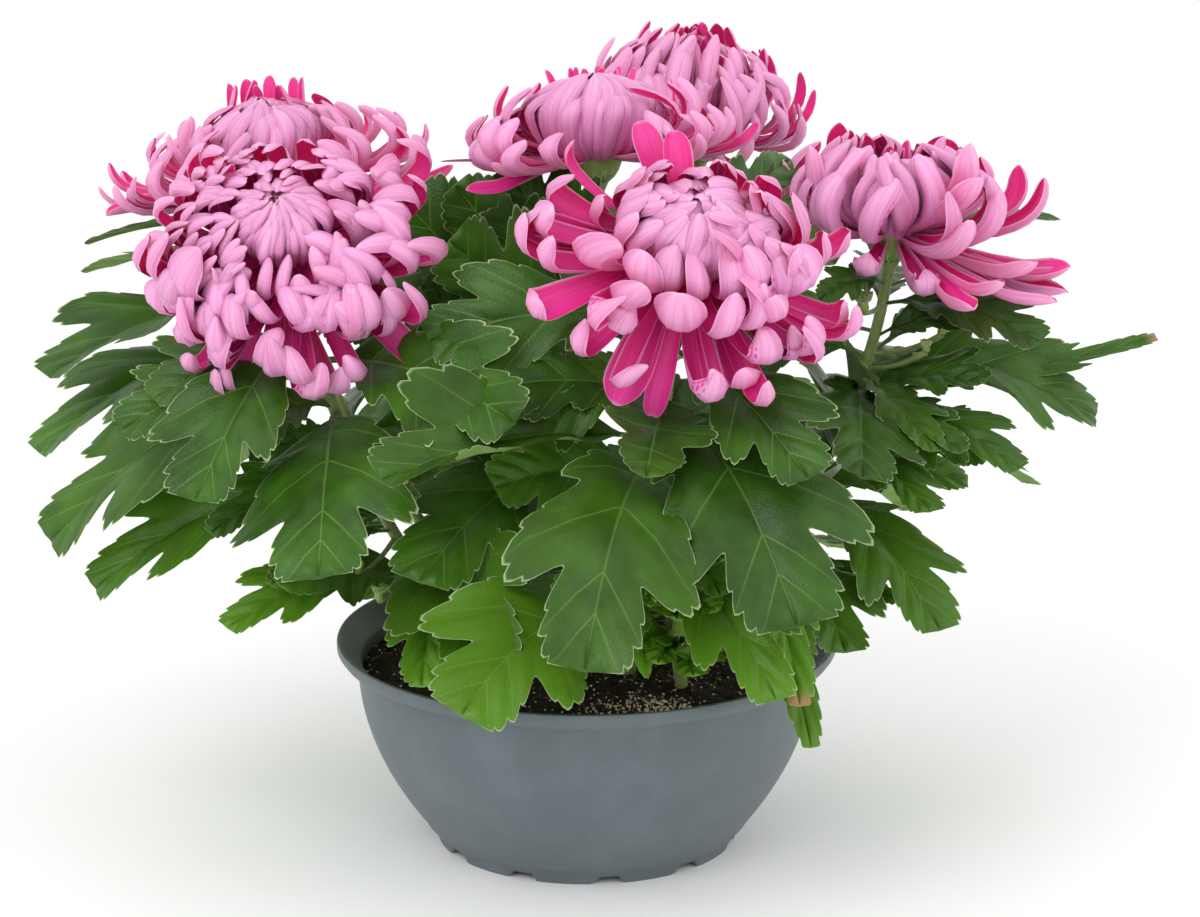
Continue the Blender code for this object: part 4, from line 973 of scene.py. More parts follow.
# Bract: a matt green leaf skin that fades to a pale papery edge.
bract_skin, tree, shader = finish("bract", 0.55)
edge = put(tree, "ShaderNodeAttribute", attribute_name="aside").outputs["Fac"]
edge = put(tree, "ShaderNodeMapRange", (put(tree, "ShaderNodeMath", (edge,), operation="ABSOLUTE"), 0.5, 1.0))
tone = put(tree, "ShaderNodeMix", {0: edge, 6: linear("#84a04c"), 7: linear("#c9d09a")}, data_type="RGBA")
colour_and_bump(tree, shader, tone.outputs[2])
bract_shape = petal_blank("bract", BRACT_ROWS, BRACT_COLUMNS)
for name, (foot, seat, axis, _) in STEMS.items():
    mesh = grown("stalk_" + name, polylines(name, stem_lines(name)), stalk_tree, Sides=16, Hair=hair_shape,
                 Down=STEM_DOWN, Seed=len(name), Skin=stem_skin, Hair_Finish=down_finish)
    place("stalk_" + name, mesh, None, "leaves", "stem_" + name)
    heads = []
    if name in BLOOMS:
        cup = [one_petal(bearing, 0.0155, 0.0062, 0.0050 + 0.0012 * layer, -0.0085 + 0.0020 * layer,
                         (20 + 12 * layer, 48, 70, 62), roll=(0.6, 0.4))
               for layer, bearing in whorls(CUP_BRACTS)]
        heads.append(("cup", cup, bloom_frame(name)))
    for order, (share, centre, radius) in enumerate(BUDS.get(name, [])):
        bud = [one_petal(bearing, radius * (2.5 - 0.25 * layer), radius * 1.15, 0.0003, 0.0001 * layer,
                         (-5 + 10 * layer, 84, 135, 170), roll=(1.0, 0.9), swirl=0.3)
               for layer, bearing in whorls(BUD_BRACTS)]
        heads.append(("bud%d" % order, bud, Matrix.Translation(Vector(centre) - Vector((0, 0, radius)))))
    for kind, bracts, where in heads:
        label = kind + "_" + name
        mesh = grown(label, petal_points(label, bracts), bending, Petal=bract_shape,
                     Thickness=BRACT_THICKNESS, Furrow=0.0, Inside=bract_skin, Outside=bract_skin)
        mesh.transform(where)
        place(label, mesh, None, "leaves")
bpy.data.objects.remove(bract_shape)
bpy.data.objects.remove(hair_shape)


# The leaves
# Each leaf is lobed like an oak's and about 90 mm long: dark green with a soft sheen above, pale
# and matt below, quilted between its veins, with a thin pale margin.
PETIOLE_SHARE = 0.15
PETIOLE_HALF = 0.020
PETIOLE_RELIEF = 0.0007
LEAF_THICKNESS = 0.00022
VEIN_ANGLE = math.radians(58)
VEIN_ANGLE_LOSS = math.radians(24)  # from the foot of the blade to its tip
QUILT = 0.0016
QUILT_SLOPE = 0.045
GROOVE = 0.0006  # how deep the midrib lies in the upper side, and how far it stands out below
KEEL = 0.0010
GROOVE_HALF = 0.018
COMMON_WIDTH = 0.76  # the width of a blank, as a share of its length
LEAF_COLUMNS = (0.0, 0.07, 0.42, 0.80, 1.0)
WITHERED = "#8f7350"

# An edge is given by where each of its side lines leaves the midrib and how long that line is. The
# main veins leave the midrib at the stations in the list below it
LOBED_EDGE = (
    (0.0, 0.020), (0.02, 0.05), (0.04, 0.12), (0.06, 0.20), (0.08, 0.25), (0.095, 0.262), (0.107, 0.247),
    (0.12, 0.29), (0.137, 0.33), (0.155, 0.345), (0.172, 0.337), (0.185, 0.305), (0.197, 0.278),
    (0.207, 0.255), (0.217, 0.247), (0.23, 0.258), (0.243, 0.288), (0.257, 0.335), (0.27, 0.372),
    (0.285, 0.392), (0.297, 0.38), (0.31, 0.43), (0.33, 0.47), (0.347, 0.478), (0.36, 0.46),
    (0.375, 0.505), (0.40, 0.537), (0.42, 0.53), (0.434, 0.50), (0.447, 0.517), (0.465, 0.51),
    (0.482, 0.475), (0.495, 0.43), (0.508, 0.425), (0.523, 0.39), (0.537, 0.335), (0.55, 0.277),
    (0.562, 0.238), (0.573, 0.225), (0.585, 0.232), (0.60, 0.252), (0.617, 0.275), (0.635, 0.292),
    (0.648, 0.292), (0.66, 0.274), (0.677, 0.300), (0.697, 0.312), (0.715, 0.29), (0.728, 0.264),
    (0.745, 0.28), (0.765, 0.28), (0.785, 0.262), (0.798, 0.234), (0.815, 0.24), (0.835, 0.23),
    (0.855, 0.203), (0.868, 0.174), (0.885, 0.172), (0.905, 0.15), (0.925, 0.118), (0.945, 0.086),
    (0.965, 0.052), (0.985, 0.021),
)
LOBED_VEINS = (0.155, 0.40, 0.697, 0.835)
PLAIN_EDGE = (
    (0.0, 0.020), (0.03, 0.06), (0.06, 0.13), (0.09, 0.19), (0.11, 0.215), (0.125, 0.203), (0.145, 0.25),
    (0.17, 0.285), (0.19, 0.285), (0.205, 0.263), (0.22, 0.27), (0.24, 0.255), (0.26, 0.225),
    (0.275, 0.215), (0.29, 0.24), (0.31, 0.30), (0.33, 0.345), (0.35, 0.36), (0.363, 0.348),
    (0.38, 0.387), (0.40, 0.407), (0.42, 0.40), (0.435, 0.373), (0.45, 0.387), (0.47, 0.377),
    (0.49, 0.34), (0.505, 0.29), (0.52, 0.24), (0.535, 0.21), (0.55, 0.205), (0.57, 0.22), (0.59, 0.24),
    (0.61, 0.25), (0.625, 0.237), (0.645, 0.262), (0.665, 0.27), (0.685, 0.26), (0.70, 0.236),
    (0.72, 0.25), (0.74, 0.245), (0.76, 0.227), (0.775, 0.204), (0.795, 0.21), (0.82, 0.197),
    (0.84, 0.172), (0.855, 0.15), (0.875, 0.15), (0.90, 0.13), (0.92, 0.106), (0.945, 0.076),
    (0.97, 0.042), (0.985, 0.020),
)
PLAIN_VEINS = (0.17, 0.40, 0.665, 0.82)


def leaf_blank(name, edge, veins):
    """A flat leaf one unit long, in two skins, with its petiole running back from the blade."""
    ribs = [(-PETIOLE_SHARE / (1 - PETIOLE_SHARE) * part, None) for part in (1.0, 0.75, 0.5, 0.25)]
    ribs += [(start, reach) for start, reach in edge]
    shape = bmesh.new()
    layers = {label: shape.verts.layers.float.new(label)
              for label in ("skin", "vein", "midrib", "rim", "reach")}
    rows = []
    for start, reach in ribs:
        row = {}
        angle = VEIN_ANGLE - VEIN_ANGLE_LOSS * max(start, 0)
        nearest = min(abs(start - vein) for vein in veins)
        for hand in (1, -1):
            for share in LEAF_COLUMNS:
                for skin in (1, -1):
                    if (share == 0 and hand == -1) or (share == 1 and skin == -1):
                        continue
                    if reach is None:
                        along = start
                        aside = PETIOLE_HALF * share
                        relief = PETIOLE_RELIEF * (1 - share)
                        lift = relief if skin > 0 else -1.8 * relief
                    else:
                        along = start + share * reach * math.cos(angle)
                        aside = share * reach * math.sin(angle)
                        quilt = QUILT * (1 - math.exp(-(nearest / QUILT_SLOPE) ** 2))
                        groove = math.exp(-(aside / GROOVE_HALF) ** 2)
                        lift = quilt * math.sin(math.pi * share ** 0.7) - GROOVE * groove
                        if skin < 0:
                            lift -= 2 * LEAF_THICKNESS + KEEL * groove * (1 - start)
                    corner = shape.verts.new((along, hand * aside, lift))
                    corner[layers["skin"]] = 0.0 if share == 1 else skin
                    corner[layers["vein"]] = 1.0 if reach is None else nearest
                    corner[layers["midrib"]] = aside
                    corner[layers["rim"]] = 0.0 if reach is None else share
                    corner[layers["reach"]] = along
                    row[hand, share, skin] = corner
        for share in LEAF_COLUMNS:
            for skin in (1, -1):
                for hand in (1, -1):
                    if share == 0:
                        row[hand, share, skin] = row[1, share, skin]
                    if share == 1:
                        row[hand, share, skin] = row[hand, share, 1]
        rows.append(row)
    tip = shape.verts.new((1.0, 0.0, 0.0))
    tip[layers["rim"]] = 1.0
    tip[layers["reach"]] = 1.0
    for hand in (1, -1):
        for skin in (1, -1):
            for inner, outer in zip(LEAF_COLUMNS, LEAF_COLUMNS[1:]):
                for lower, upper in zip(rows, rows[1:]):
                    corners = (lower[hand, inner, skin], upper[hand, inner, skin],
                               upper[hand, outer, skin], lower[hand, outer, skin])
                    shape.faces.new(corners)
                shape.faces.new((rows[-1][hand, inner, skin], tip, rows[-1][hand, outer, skin]))
    stub = []
    for hand, skin, shares in ((1, 1, LEAF_COLUMNS), (1, -1, LEAF_COLUMNS[-2::-1]),
                               (-1, -1, LEAF_COLUMNS[1:]), (-1, 1, LEAF_COLUMNS[-2:0:-1])):
        stub += [rows[0][hand, share, skin] for share in shares]
    shape.faces.new(stub)
    bmesh.ops.recalc_face_normals(shape, faces=shape.faces)
    for edge in shape.edges:
        edge.smooth = any(corner[layers["rim"]] < 1 for corner in edge.verts)
    return set_up(name, built(name, shape))


# A flat leaf is laid along an arched line from its stem to where its tip reaches. It keeps facing
# the light, folds up a little from its midrib, and its edges wave, each hand out of step
WAVES = 13.0
OUT_OF_STEP = 1.6
laying, given = tree_for("leaves", Lobed="Object", Plain="Object", Upper="Material", Under="Material")
kind = put(laying, "GeometryNodeInputNamedAttribute", {"Name": "plain"}).outputs[0]
sets = []
for label, test in (("Lobed", "LESS_THAN"), ("Plain", "GREATER_THAN")):
    chosen = put(laying, "ShaderNodeMath", (kind, 0.5), operation=test)
    blank = put(laying, "GeometryNodeObjectInfo", (given[label],)).outputs["Geometry"]
    sets.append(put(laying, "GeometryNodeInstanceOnPoints",
                    {"Points": given["Geometry"], "Selection": chosen, "Instance": blank}))
both = put(laying, "GeometryNodeJoinGeometry")
for leaves in sets:
    laying.links.new(leaves.outputs[0], both.inputs[0])
leaves = put(laying, "GeometryNodeRealizeInstances", (both,))
vector = {name: put(laying, "GeometryNodeInputNamedAttribute", {"Name": name},
                    data_type="FLOAT_VECTOR").outputs[0] for name in ("root", "handle", "tip", "facing")}
value = {name: put(laying, "GeometryNodeInputNamedAttribute", {"Name": name}).outputs[0]
         for name in ("length", "breadth", "fold", "wave", "phase", "roll", "skin", "curl")}
flat = put(laying, "ShaderNodeSeparateXYZ", (put(laying, "GeometryNodeInputPosition"),))
share = put(laying, "ShaderNodeMath", (flat.outputs[0], 1 - PETIOLE_SHARE, PETIOLE_SHARE),
            operation="MULTIPLY_ADD")
first, second = (put(laying, "ShaderNodeMix", {0: share, 4: vector[start], 5: vector[end]},
                     data_type="VECTOR") for start, end in (("root", "handle"), ("handle", "tip")))
line = put(laying, "ShaderNodeMix", {0: share, 4: first, 5: second}, data_type="VECTOR")
ahead = put(laying, "ShaderNodeVectorMath", (second, first), operation="SUBTRACT")
ahead = put(laying, "ShaderNodeVectorMath", (ahead,), operation="NORMALIZE")
side = put(laying, "ShaderNodeVectorMath", (ahead, vector["facing"]), operation="CROSS_PRODUCT")
side = put(laying, "ShaderNodeVectorMath", (side,), operation="NORMALIZE")
side = put(laying, "ShaderNodeVectorRotate", {"Vector": side, "Axis": ahead, "Angle": value["roll"]},
           rotation_type="AXIS_ANGLE")
face = put(laying, "ShaderNodeVectorMath", (side, ahead), operation="CROSS_PRODUCT")
along, across, height = flat.outputs
for result, operation, *parts in (
    ("aside", "MULTIPLY", across, "length"),
    ("aside", "MULTIPLY", "aside", "breadth"),
    ("out", "ABSOLUTE", "aside"),
    ("folded", "MULTIPLY_ADD", "out", "fold", height),
    ("hand", "SIGN", across),
    ("swing", "MULTIPLY_ADD", along, WAVES, "phase"),
    ("swing", "MULTIPLY_ADD", "hand", OUT_OF_STEP, "swing"),
    ("swing", "SINE", "swing"),
    ("ripple", "MULTIPLY", "out", "wave"),
    ("folded", "MULTIPLY_ADD", "swing", "ripple", "folded"),
    ("squared", "MULTIPLY", "out", "out"),
    ("folded", "MULTIPLY_ADD", "squared", "curl", "folded"),
):
    parts = [value.get(part, part) for part in parts]
    value[result] = put(laying, "ShaderNodeMath", parts, operation=operation)
spot = moved(laying, line, (side, value["aside"]), (face, value["folded"]))
clothed(laying, leaves, spot, value["skin"], given["Upper"], given["Under"])


def leaf_finish(name, dark, light, young, vein_colour, rim_colour, roughness, vein_strength):
    """Leaf skin: green in patches, paler along its veins and at its margin."""
    material, tree, shader = finish(name, roughness, Specular_IOR_Level=0.34)
    vein, midrib, rim, along, youth, dry, tint = (
        put(tree, "ShaderNodeAttribute", attribute_name=label).outputs["Fac"]
        for label in ("vein", "midrib", "rim", "reach", "youth", "dry", "tint"))
    where = put(tree, "ShaderNodeTexCoord").outputs["Object"]
    tone = patches(tree, where, dark, light, 45.0, 4.0)
    ahead = put(tree, "ShaderNodeMapRange", (vein, 0.002, 0.007, vein_strength, 0.0))
    thinner = put(tree, "ShaderNodeMapRange", (rim, 0.2, 0.95, 1.0, 0.25))
    ahead = put(tree, "ShaderNodeMath", (ahead, thinner), operation="MULTIPLY")
    taper = put(tree, "ShaderNodeMath", (1.2, along), operation="SUBTRACT")
    taper = put(tree, "ShaderNodeMath", (midrib, taper), operation="DIVIDE")
    main = put(tree, "ShaderNodeMapRange", (taper, 0.004, 0.010, vein_strength, 0.0))
    lines = put(tree, "ShaderNodeMath", (ahead, main), operation="MAXIMUM")
    margin = put(tree, "ShaderNodeMapRange", (rim, 0.972, 0.998, 0.0, 0.75))
    withered = put(tree, "ShaderNodeMapRange", (along, 0.95, 0.99))
    withered = put(tree, "ShaderNodeMath", (withered, dry), operation="MULTIPLY")
    tone = layered(tree, tone, (youth, young), (lines, vein_colour), (margin, rim_colour),
                   (withered, WITHERED))
    light_share = put(tree, "ShaderNodeMapRange", (tint, 0.0, 1.0, 0.80, 1.20))
    tone = put(tree, "ShaderNodeHueSaturation", {"Value": light_share, "Color": tone})
    net = put(tree, "ShaderNodeTexVoronoi", {"Vector": where, "Scale": 480.0}, feature="DISTANCE_TO_EDGE")
    cell = put(tree, "ShaderNodeMapRange", (net.outputs[0], 0.0, 0.25))
    bump = put(tree, "ShaderNodeBump", {"Strength": 0.22, "Distance": 0.0004, "Height": cell})
    colour_and_bump(tree, shader, tone.outputs[0], bump)
    return material


# Leaf skins: a waxy upper side that is dark green and smooth between sunken veins, and a felted
# under side that is pale grey green with raised veins.
leaf_upper = leaf_finish("leaf upper side", "#27480b", "#3a6612", "#62931f", "#7a9c4c", "#bccb9c", 0.36, 0.40)
leaf_under = leaf_finish("leaf under side", "#6c8f45", "#88a860", "#98b950", "#a9bb85", "#c3d3a4", 0.75, 0.5)

# Each leaf: how far up its stem it grows, where its tip reaches in millimetres, its width and its
# arch as shares of its length, its roll in degrees, whether its outline is the plain one, and how young and
# yellow it is
LEAVES = {
    "front": [
        (0.42, (-1, -185, 143), 0.66, 0.18, 0, 0, 0.1),
        (0.55, (92, -160, 155), 0.80, 0.15, 0, 0, 0.0),
        (0.10, (-55, -165, 116), 0.66, 0.15, 0, 0, 0.6),
        (0.48, (-91, -120, 210), 0.46, 0.08, 20, 0, 0.1),
        (0.60, (26, -132, 215), 0.92, 0.02, 0, 1, 0.0),
        (0.78, (-72, -60, 259), 0.60, 0.08, 0, 0, 0.0),
        (0.70, (98, -124, 212), 0.66, 0.08, 0, 0, 0.0),
        (0.15, (83, -160, 121), 0.45, 0.20, 0, 0, 0.5),
        (0.20, (17, -120, 136), 0.75, 0.10, 0, 1, 0.6),
        (0.92, (97, 40, 324), 0.45, 0.05, 0, 1, 0.0),
        (0.58, (-55, -85, 240), 0.60, 0.08, 0, 1, 0.0),
        (0.30, (60, -115, 155), 0.60, 0.12, 0, 1, 0.3),
    ],
    "front_left": [
        (0.50, (-119, -130, 168), 0.80, 0.12, 0, 0, 0.0),
        (0.52, (-254, -12, 150), 0.58, 0.16, 5, 0, 0.1),
        (0.62, (-32, -100, 231), 0.60, 0.08, 0, 0, 0.0),
        (0.20, (-43, -130, 126), 0.70, 0.18, 0, 0, 0.4),
        (0.72, (-176, -95, 194), 0.70, 0.10, 0, 0, 0.0),
        (0.38, (-173, -60, 168), 0.58, 0.10, 0, 1, 0.1),
        (0.30, (-232, -24, 130), 0.46, 0.16, 0, 0, 0.2),
        (0.15, (-165, -75, 127), 0.46, 0.12, 10, 0, 0.5),
        (0.10, (-74, -120, 114), 0.56, 0.15, 0, 1, 0.5),
        (0.25, (-145, -70, 146), 0.50, 0.10, 0, 1, 0.2),
        (0.28, (-118, 0, 148), 0.72, 0.10, 0, 1, 0.2),
        (0.42, (-160, 0, 190), 0.70, 0.10, 0, 0, 0.0),
        (0.60, (-215, -40, 212), 0.60, 0.10, 0, 0, 0.0),
    ],
    "right": [
        (0.55, (275, 40, 237), 0.22, -0.02, 0, 1, 0.1),
        (0.50, (201, -40, 193), 0.50, 0.12, 0, 0, 0.1),
        (0.62, (244, 20, 202), 0.66, 0.12, 0, 0, 0.1),
        (0.80, (210, -26, 250), 0.66, 0.10, 0, 0, 0.0),
        (0.40, (156, -80, 184), 0.44, 0.10, 0, 0, 0.1),
        (0.30, (163, -70, 124), 0.60, 0.15, 0, 0, 0.3),
        (0.58, (124, -95, 204), 0.60, 0.08, 0, 0, 0.0),
        (0.20, (118, -90, 120), 0.58, 0.12, 0, 0, 0.3),
        (0.52, (172, -55, 205), 0.55, 0.08, 0, 1, 0.0),
        (0.85, (233, 60, 255), 0.40, 0.10, 0, 1, 0.0),
        (0.92, (231, 90, 285), 0.36, 0.08, 0, 1, 0.0),
        (0.86, (107, -40, 274), 0.46, 0.08, 0, 1, 0.0),
        (0.15, (145, -40, 128), 0.34, 0.10, 0, 1, 0.3),
        (0.48, (85, -85, 205), 0.55, 0.10, 0, 1, 0.0),
        (0.55, (118, -50, 256), 0.66, 0.08, 0, 0, 0.0),
        (0.70, (190, 0, 262), 0.66, 0.08, 0, 0, 0.0),
        (0.10, (94, -150, 115), 0.32, 0.20, 0, 1, 0.6),
        (0.05, (100, -140, 92), 0.28, 0.25, 0, 1, 0.7),
        (0.25, (160, 110, 130), 0.55, 0.15, 0, 1, 0.2),
        (0.35, (220, 90, 150), 0.50, 0.15, 0, 0, 0.2),
        (0.45, (120, 130, 195), 0.60, 0.10, 0, 0, 0.1),
        (0.65, (210, 120, 225), 0.50, 0.10, 0, 1, 0.0),
        (0.75, (150, 120, 255), 0.50, 0.10, 0, 1, 0.0),
        (0.56, (186, -22, 230), 0.60, 0.08, 0, 0, 0.0),
    ],
    "middle": [
        (0.60, (-38, 30, 323), 0.72, 0.05, 0, 0, 0.0),
        (0.45, (-62, 20, 316), 0.72, 0.05, 0, 1, 0.0),
        (0.36, (-86, 28, 306), 0.74, 0.05, 0, 0, 0.0),
        (0.32, (-78, 0, 272), 0.74, 0.05, 0, 0, 0.0),
        (0.28, (-98, 40, 280), 0.74, 0.05, 0, 1, 0.0),
        (0.70, (-12, -20, 326), 0.56, 0.05, 0, 0, 0.0),
        (0.40, (-63, -30, 300), 0.66, 0.05, 0, 0, 0.1),
        (0.50, (-39, -90, 230), 0.56, 0.10, 0, 1, 0.0),
        (0.30, (-75, -110, 160), 0.60, 0.12, 0, 0, 0.1),
        (0.55, (70, -60, 262), 0.60, 0.08, 0, 1, 0.0),
        (0.35, (-85, 115, 185), 0.62, 0.12, 0, 0, 0.1),
        (0.62, (-70, 95, 255), 0.55, 0.10, 0, 1, 0.0),
        (0.45, (75, 85, 225), 0.60, 0.12, 0, 1, 0.0),
        (0.20, (30, 110, 150), 0.60, 0.15, 0, 1, 0.3),
        (0.15, (-75, 30, 135), 0.60, 0.15, 0, 1, 0.4),
    ],
    "back_left": [
        (0.50, (-264, 30, 182), 0.54, 0.16, -5, 0, 0.1),
        (0.62, (-256, 20, 222), 0.62, 0.12, 0, 0, 0.0),
        (0.70, (-73, 0, 270), 0.56, 0.05, 0, 0, 0.0),
        (0.40, (-234, 90, 158), 0.50, 0.15, 0, 1, 0.1),
        (0.85, (-244, 70, 277), 0.42, 0.08, 0, 1, 0.0),
        (0.75, (-251, 110, 254), 0.42, 0.08, 0, 1, 0.0),
        (0.15, (-120, 140, 120), 0.60, 0.15, 0, 1, 0.4),
        (0.25, (-200, 130, 140), 0.52, 0.15, 0, 0, 0.2),
        (0.35, (-130, 180, 165), 0.60, 0.12, 0, 1, 0.1),
        (0.55, (-100, 175, 215), 0.60, 0.10, 0, 0, 0.0),
        (0.30, (-60, 150, 155), 0.60, 0.12, 0, 1, 0.2),
        (0.65, (-220, 150, 225), 0.50, 0.10, 0, 1, 0.0),
        (0.80, (-140, 182, 262), 0.50, 0.08, 0, 1, 0.0),
        (0.72, (-60, 130, 250), 0.50, 0.10, 0, 1, 0.0),
    ],
    "young": [
        (0.35, (82, -108, 134), 0.70, 0.14, 0, 1, 0.8),
        (0.45, (6, -116, 130), 0.70, 0.14, 0, 1, 0.9),
        (0.70, (58, -122, 150), 0.75, 0.10, 0, 1, 0.8),
        (0.80, (52, -62, 160), 0.70, 0.10, 0, 1, 0.8),
        (0.60, (16, -108, 158), 0.80, 0.20, 20, 0, 0.9),
        (0.75, (62, -108, 170), 0.80, 0.20, -20, 0, 0.9),
        (0.90, (32, -134, 164), 0.85, 0.15, 0, 0, 1.0),
        (0.92, (18, -112, 174), 0.85, 0.10, 10, 1, 1.0),
        (0.95, (50, -114, 178), 0.85, 0.10, -10, 0, 1.0),
        (0.97, (34, -124, 180), 0.90, 0.10, 0, 1, 1.0),
        (0.99, (30, -84, 180), 0.80, 0.05, 0, 0, 1.0),
        (0.50, (40, -122, 146), 0.80, 0.15, 0, 0, 0.9),
        (0.30, (10, -108, 120), 0.85, 0.20, 0, 0, 1.0),
        (0.10, (48, -112, 116), 0.90, 0.20, 0, 0, 1.0),
        (0.16, (32, -112, 122), 0.90, 0.20, 10, 1, 0.9),
        (0.22, (56, -110, 126), 0.90, 0.20, -10, 0, 1.0),
        (0.34, (20, -114, 130), 0.85, 0.15, 20, 1, 0.9),
        (0.40, (60, -114, 132), 0.80, 0.15, -10, 0, 0.8),
    ],
    "back_right": [
        (0.12, (50, 165, 120), 0.55, 0.15, 0, 1, 0.4),
        (0.20, (-60, 160, 130), 0.60, 0.15, 0, 1, 0.3),
        (0.30, (120, 160, 150), 0.60, 0.15, 0, 0, 0.2),
        (0.40, (20, 185, 170), 0.62, 0.15, 0, 1, 0.1),
        (0.50, (-50, 170, 205), 0.60, 0.12, 0, 0, 0.0),
        (0.58, (130, 150, 210), 0.60, 0.12, 0, 0, 0.0),
        (0.66, (60, 185, 225), 0.55, 0.12, 0, 1, 0.0),
        (0.76, (-20, 155, 265), 0.55, 0.08, 0, 1, 0.0),
        (0.84, (140, 110, 275), 0.50, 0.08, 0, 1, 0.0),
        (0.88, (35, 184, 290), 0.50, 0.08, 0, 1, 0.0),
    ],
}

# Leaves with edges that roll up and show their under sides, and leaves with withered tips, by their
# stem and their place in its list
ROLLED_EDGES = {("front", 3): 26, ("front", 4): 12, ("front_left", 3): 8, ("middle", 7): 10}
DRY_TIPS = {("right", 0), ("right", 16)}

# Behind the leaves that show, each stem is leafy all round: leaves follow one another up it at the
# golden angle, shorter near the blooms, and stay inside the plant's own outline
INNER_LEAVES = 10
INNER_LOWEST = 0.10
INNER_HIGHEST = 0.72
INNER_REACH = (0.092, 0.030)  # at the foot of a stem, and how much less of it there is at its top
INNER_REACH_SPREAD = 0.008
INNER_CLIMB = (-0.25, 0.15)
INNER_WIDTH = (0.62, 0.85)
INNER_ARCH = (0.04, 0.14)
INNER_ROLL = 15
INNER_YOUTH = 0.45  # at the foot of a stem
SHORTEST_LEAF = 0.035
BLOOM_CLEARANCE = 0.080
GOLDEN_ANGLE = math.radians(137.5)
CROWN_HALF_WIDTH = 0.235
CROWN_HALF_DEPTH = 0.165
LOWEST_TIP = 0.112
FRONT_LOWEST_TIP = 0.150
FRONT_EDGE = -0.04  # in front of which the tips stay higher, so that the bowl shows


def inner_leaves(name, draw):
    """Leaves that fill the inside of the plant round one stem."""
    leaves = []
    for order in range(INNER_LEAVES):
        share = INNER_LOWEST + (INNER_HIGHEST - INNER_LOWEST) * order / (INNER_LEAVES - 1)
        root = stem_point(name, share)
        bearing = GOLDEN_ANGLE * order + 2 * math.pi * draw.random()
        reach = INNER_REACH[0] - INNER_REACH[1] * share
        reach += draw.uniform(-INNER_REACH_SPREAD, INNER_REACH_SPREAD)
        tip = root + reach * Vector((math.cos(bearing), math.sin(bearing), draw.uniform(*INNER_CLIMB)))
        wide = math.hypot(tip.x / CROWN_HALF_WIDTH, tip.y / CROWN_HALF_DEPTH)
        if wide > 1:
            tip.x /= wide
            tip.y /= wide
        tip.z = max(tip.z, FRONT_LOWEST_TIP if tip.y < FRONT_EDGE else LOWEST_TIP)
        near_bloom = any((tip - Vector(STEMS[bloom][1])).length < BLOOM_CLEARANCE for bloom in BLOOMS)
        if (tip - root).length > SHORTEST_LEAF and not near_bloom:
            leaves.append((share, tip, draw.uniform(*INNER_WIDTH), draw.uniform(*INNER_ARCH),
                           draw.uniform(-INNER_ROLL, INNER_ROLL), order % 2, INNER_YOUTH * (1 - share)))
    return leaves


# Where a leaf faces: outwards from the plant's middle, upwards, and towards the light in front. It
# turns less to the light the further it reaches to the side, and away from it at the back
FACE_OUT = 0.45
FACE_UP = 0.85
LIGHT_TURN = 0.85
SIDE_REACH = 0.42
BACK_EDGE = 0.08
CROWN_AXIS = Vector((0.0, 0.010, 0.0))

# Between what a leaf's fold, the waves of its edges and their curl up or down differ
FOLD = (0.10, 0.30)
WAVE = (0.05, 0.14)
CURL = (-7, 1)


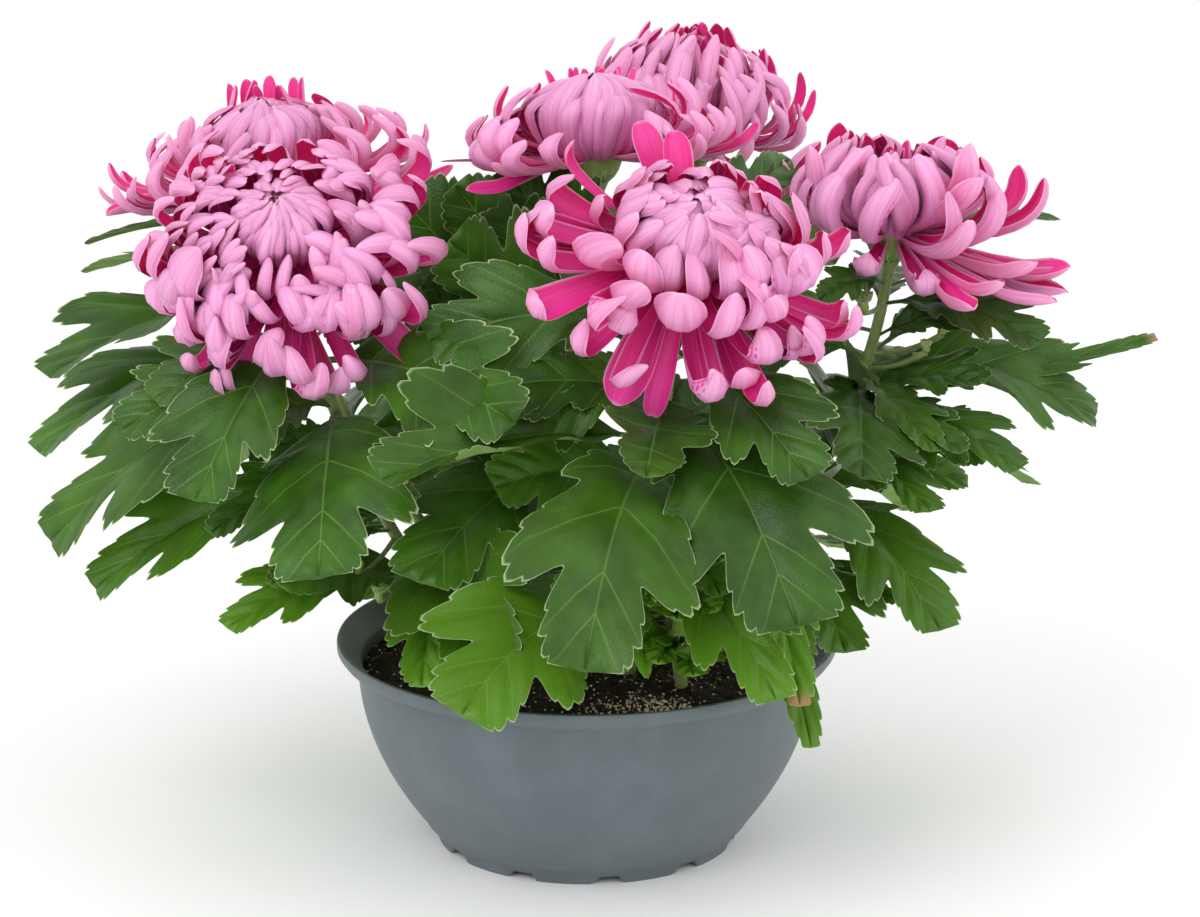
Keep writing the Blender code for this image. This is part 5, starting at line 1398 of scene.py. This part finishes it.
def leaf_points(name):
    """One point for each leaf of a stem, with where it lies and how it bends as attributes."""
    draw = random.Random("leaves of " + name)
    leaves = [(share, Vector([MILLIMETRE * part for part in tip]), *rest)
              for share, tip, *rest in LEAVES[name]]
    leaves += inner_leaves(name, draw) if name in BLOOMS else []
    vectors = {label: [] for label in ("root", "handle", "tip", "facing")}
    values = {label: [] for label in ("length", "breadth", "fold", "wave", "phase", "roll", "curl",
                                      "plain", "youth", "dry", "tint")}
    for order, (share, tip, width, arch, roll, plain, youth) in enumerate(leaves):
        root = stem_point(name, share)
        length = (tip - root).length
        middle = 0.5 * (root + tip)
        outward = middle - CROWN_AXIS
        outward.z = 0
        turn = LIGHT_TURN * (1 - (tip.x / SIDE_REACH) ** 2)
        lightward = max(-1.0, min(1.0, (tip.y - BACK_EDGE) / BACK_EDGE))
        facing = FACE_OUT * outward.normalized() + Vector((0, turn * lightward, FACE_UP))
        for label, vector in (("root", root), ("handle", middle + Vector((0, 0, 2 * arch * length))),
                              ("tip", tip), ("facing", facing)):
            vectors[label].extend(vector)
        for label, number in (
            ("length", length * (1 - PETIOLE_SHARE)), ("breadth", width / COMMON_WIDTH),
            ("fold", draw.uniform(*FOLD)), ("wave", draw.uniform(*WAVE)),
            ("phase", draw.uniform(0, FULL_TURN)), ("roll", math.radians(roll)),
            ("curl", ROLLED_EDGES.get((name, order), draw.uniform(*CURL))),
            ("dry", (name, order) in DRY_TIPS), ("plain", plain), ("youth", youth), ("tint", draw.random()),
        ):
            values[label].append(number)
    mesh = bpy.data.meshes.new(name)
    mesh.from_pydata([(0, 0, 0)] * len(leaves), [], [])
    for label, numbers in vectors.items():
        mark(mesh, label, numbers, "FLOAT_VECTOR", "vector")
    for label, numbers in values.items():
        mark(mesh, label, numbers)
    return mesh


lobed_leaf = leaf_blank("lobed leaf", LOBED_EDGE, LOBED_VEINS)
plain_leaf = leaf_blank("plain leaf", PLAIN_EDGE, PLAIN_VEINS)
for name in LEAVES:
    mesh = grown("leaves_" + name, leaf_points(name), laying, Lobed=lobed_leaf, Plain=plain_leaf,
                 Upper=leaf_upper, Under=leaf_under)
    place("leaves_" + name, mesh, None, "leaves")
bpy.data.objects.remove(lobed_leaf)
bpy.data.objects.remove(plain_leaf)


# The studio
# A plain white floor and a bright even surround, with one broad soft light from the upper left and
# a weaker one from the right, so that nothing is lost in shadow.
FLOOR_HALF = 6
LAMP_SIZE = 1.6
LAMP_AIM = Vector((0, 0, 0.2))
LAMPS = (("key", (-1.2, -1.8, 2.2), 26), ("fill", (1.8, -1.0, 1.4), 8))  # place and power

# Floor: matt white card, so that only a soft shadow lies on it.
white, tree, shader = finish("white floor", 0.9)
shader.inputs["Base Color"].default_value = linear("#fbfbfb")
floor_mesh = bpy.data.meshes.new("floor")
corners = [(FLOOR_HALF * x, FLOOR_HALF * y, 0) for x, y in ((-1, -1), (1, -1), (1, 1), (-1, 1))]
floor_mesh.from_pydata(corners, [], [(0, 1, 2, 3)])
floor_mesh.materials.append(white)
floor = set_up("floor", floor_mesh)
surround = bpy.data.worlds.new("surround")
surround.use_nodes = True
surround.node_tree.nodes["Background"].inputs["Color"].default_value = (1, 1, 1, 1)
surround.node_tree.nodes["Background"].inputs["Strength"].default_value = 1.0
bpy.context.scene.world = surround
for name, spot, power in LAMPS:
    lamp = bpy.data.lights.new(name, "AREA")
    lamp.size = LAMP_SIZE
    lamp.energy = power
    light = set_up(name, lamp)
    light.location = spot
    light.rotation_euler = (LAMP_AIM - Vector(spot)).to_track_quat("-Z", "Y").to_euler()
bpy.context.scene.view_settings.view_transform = "Standard"
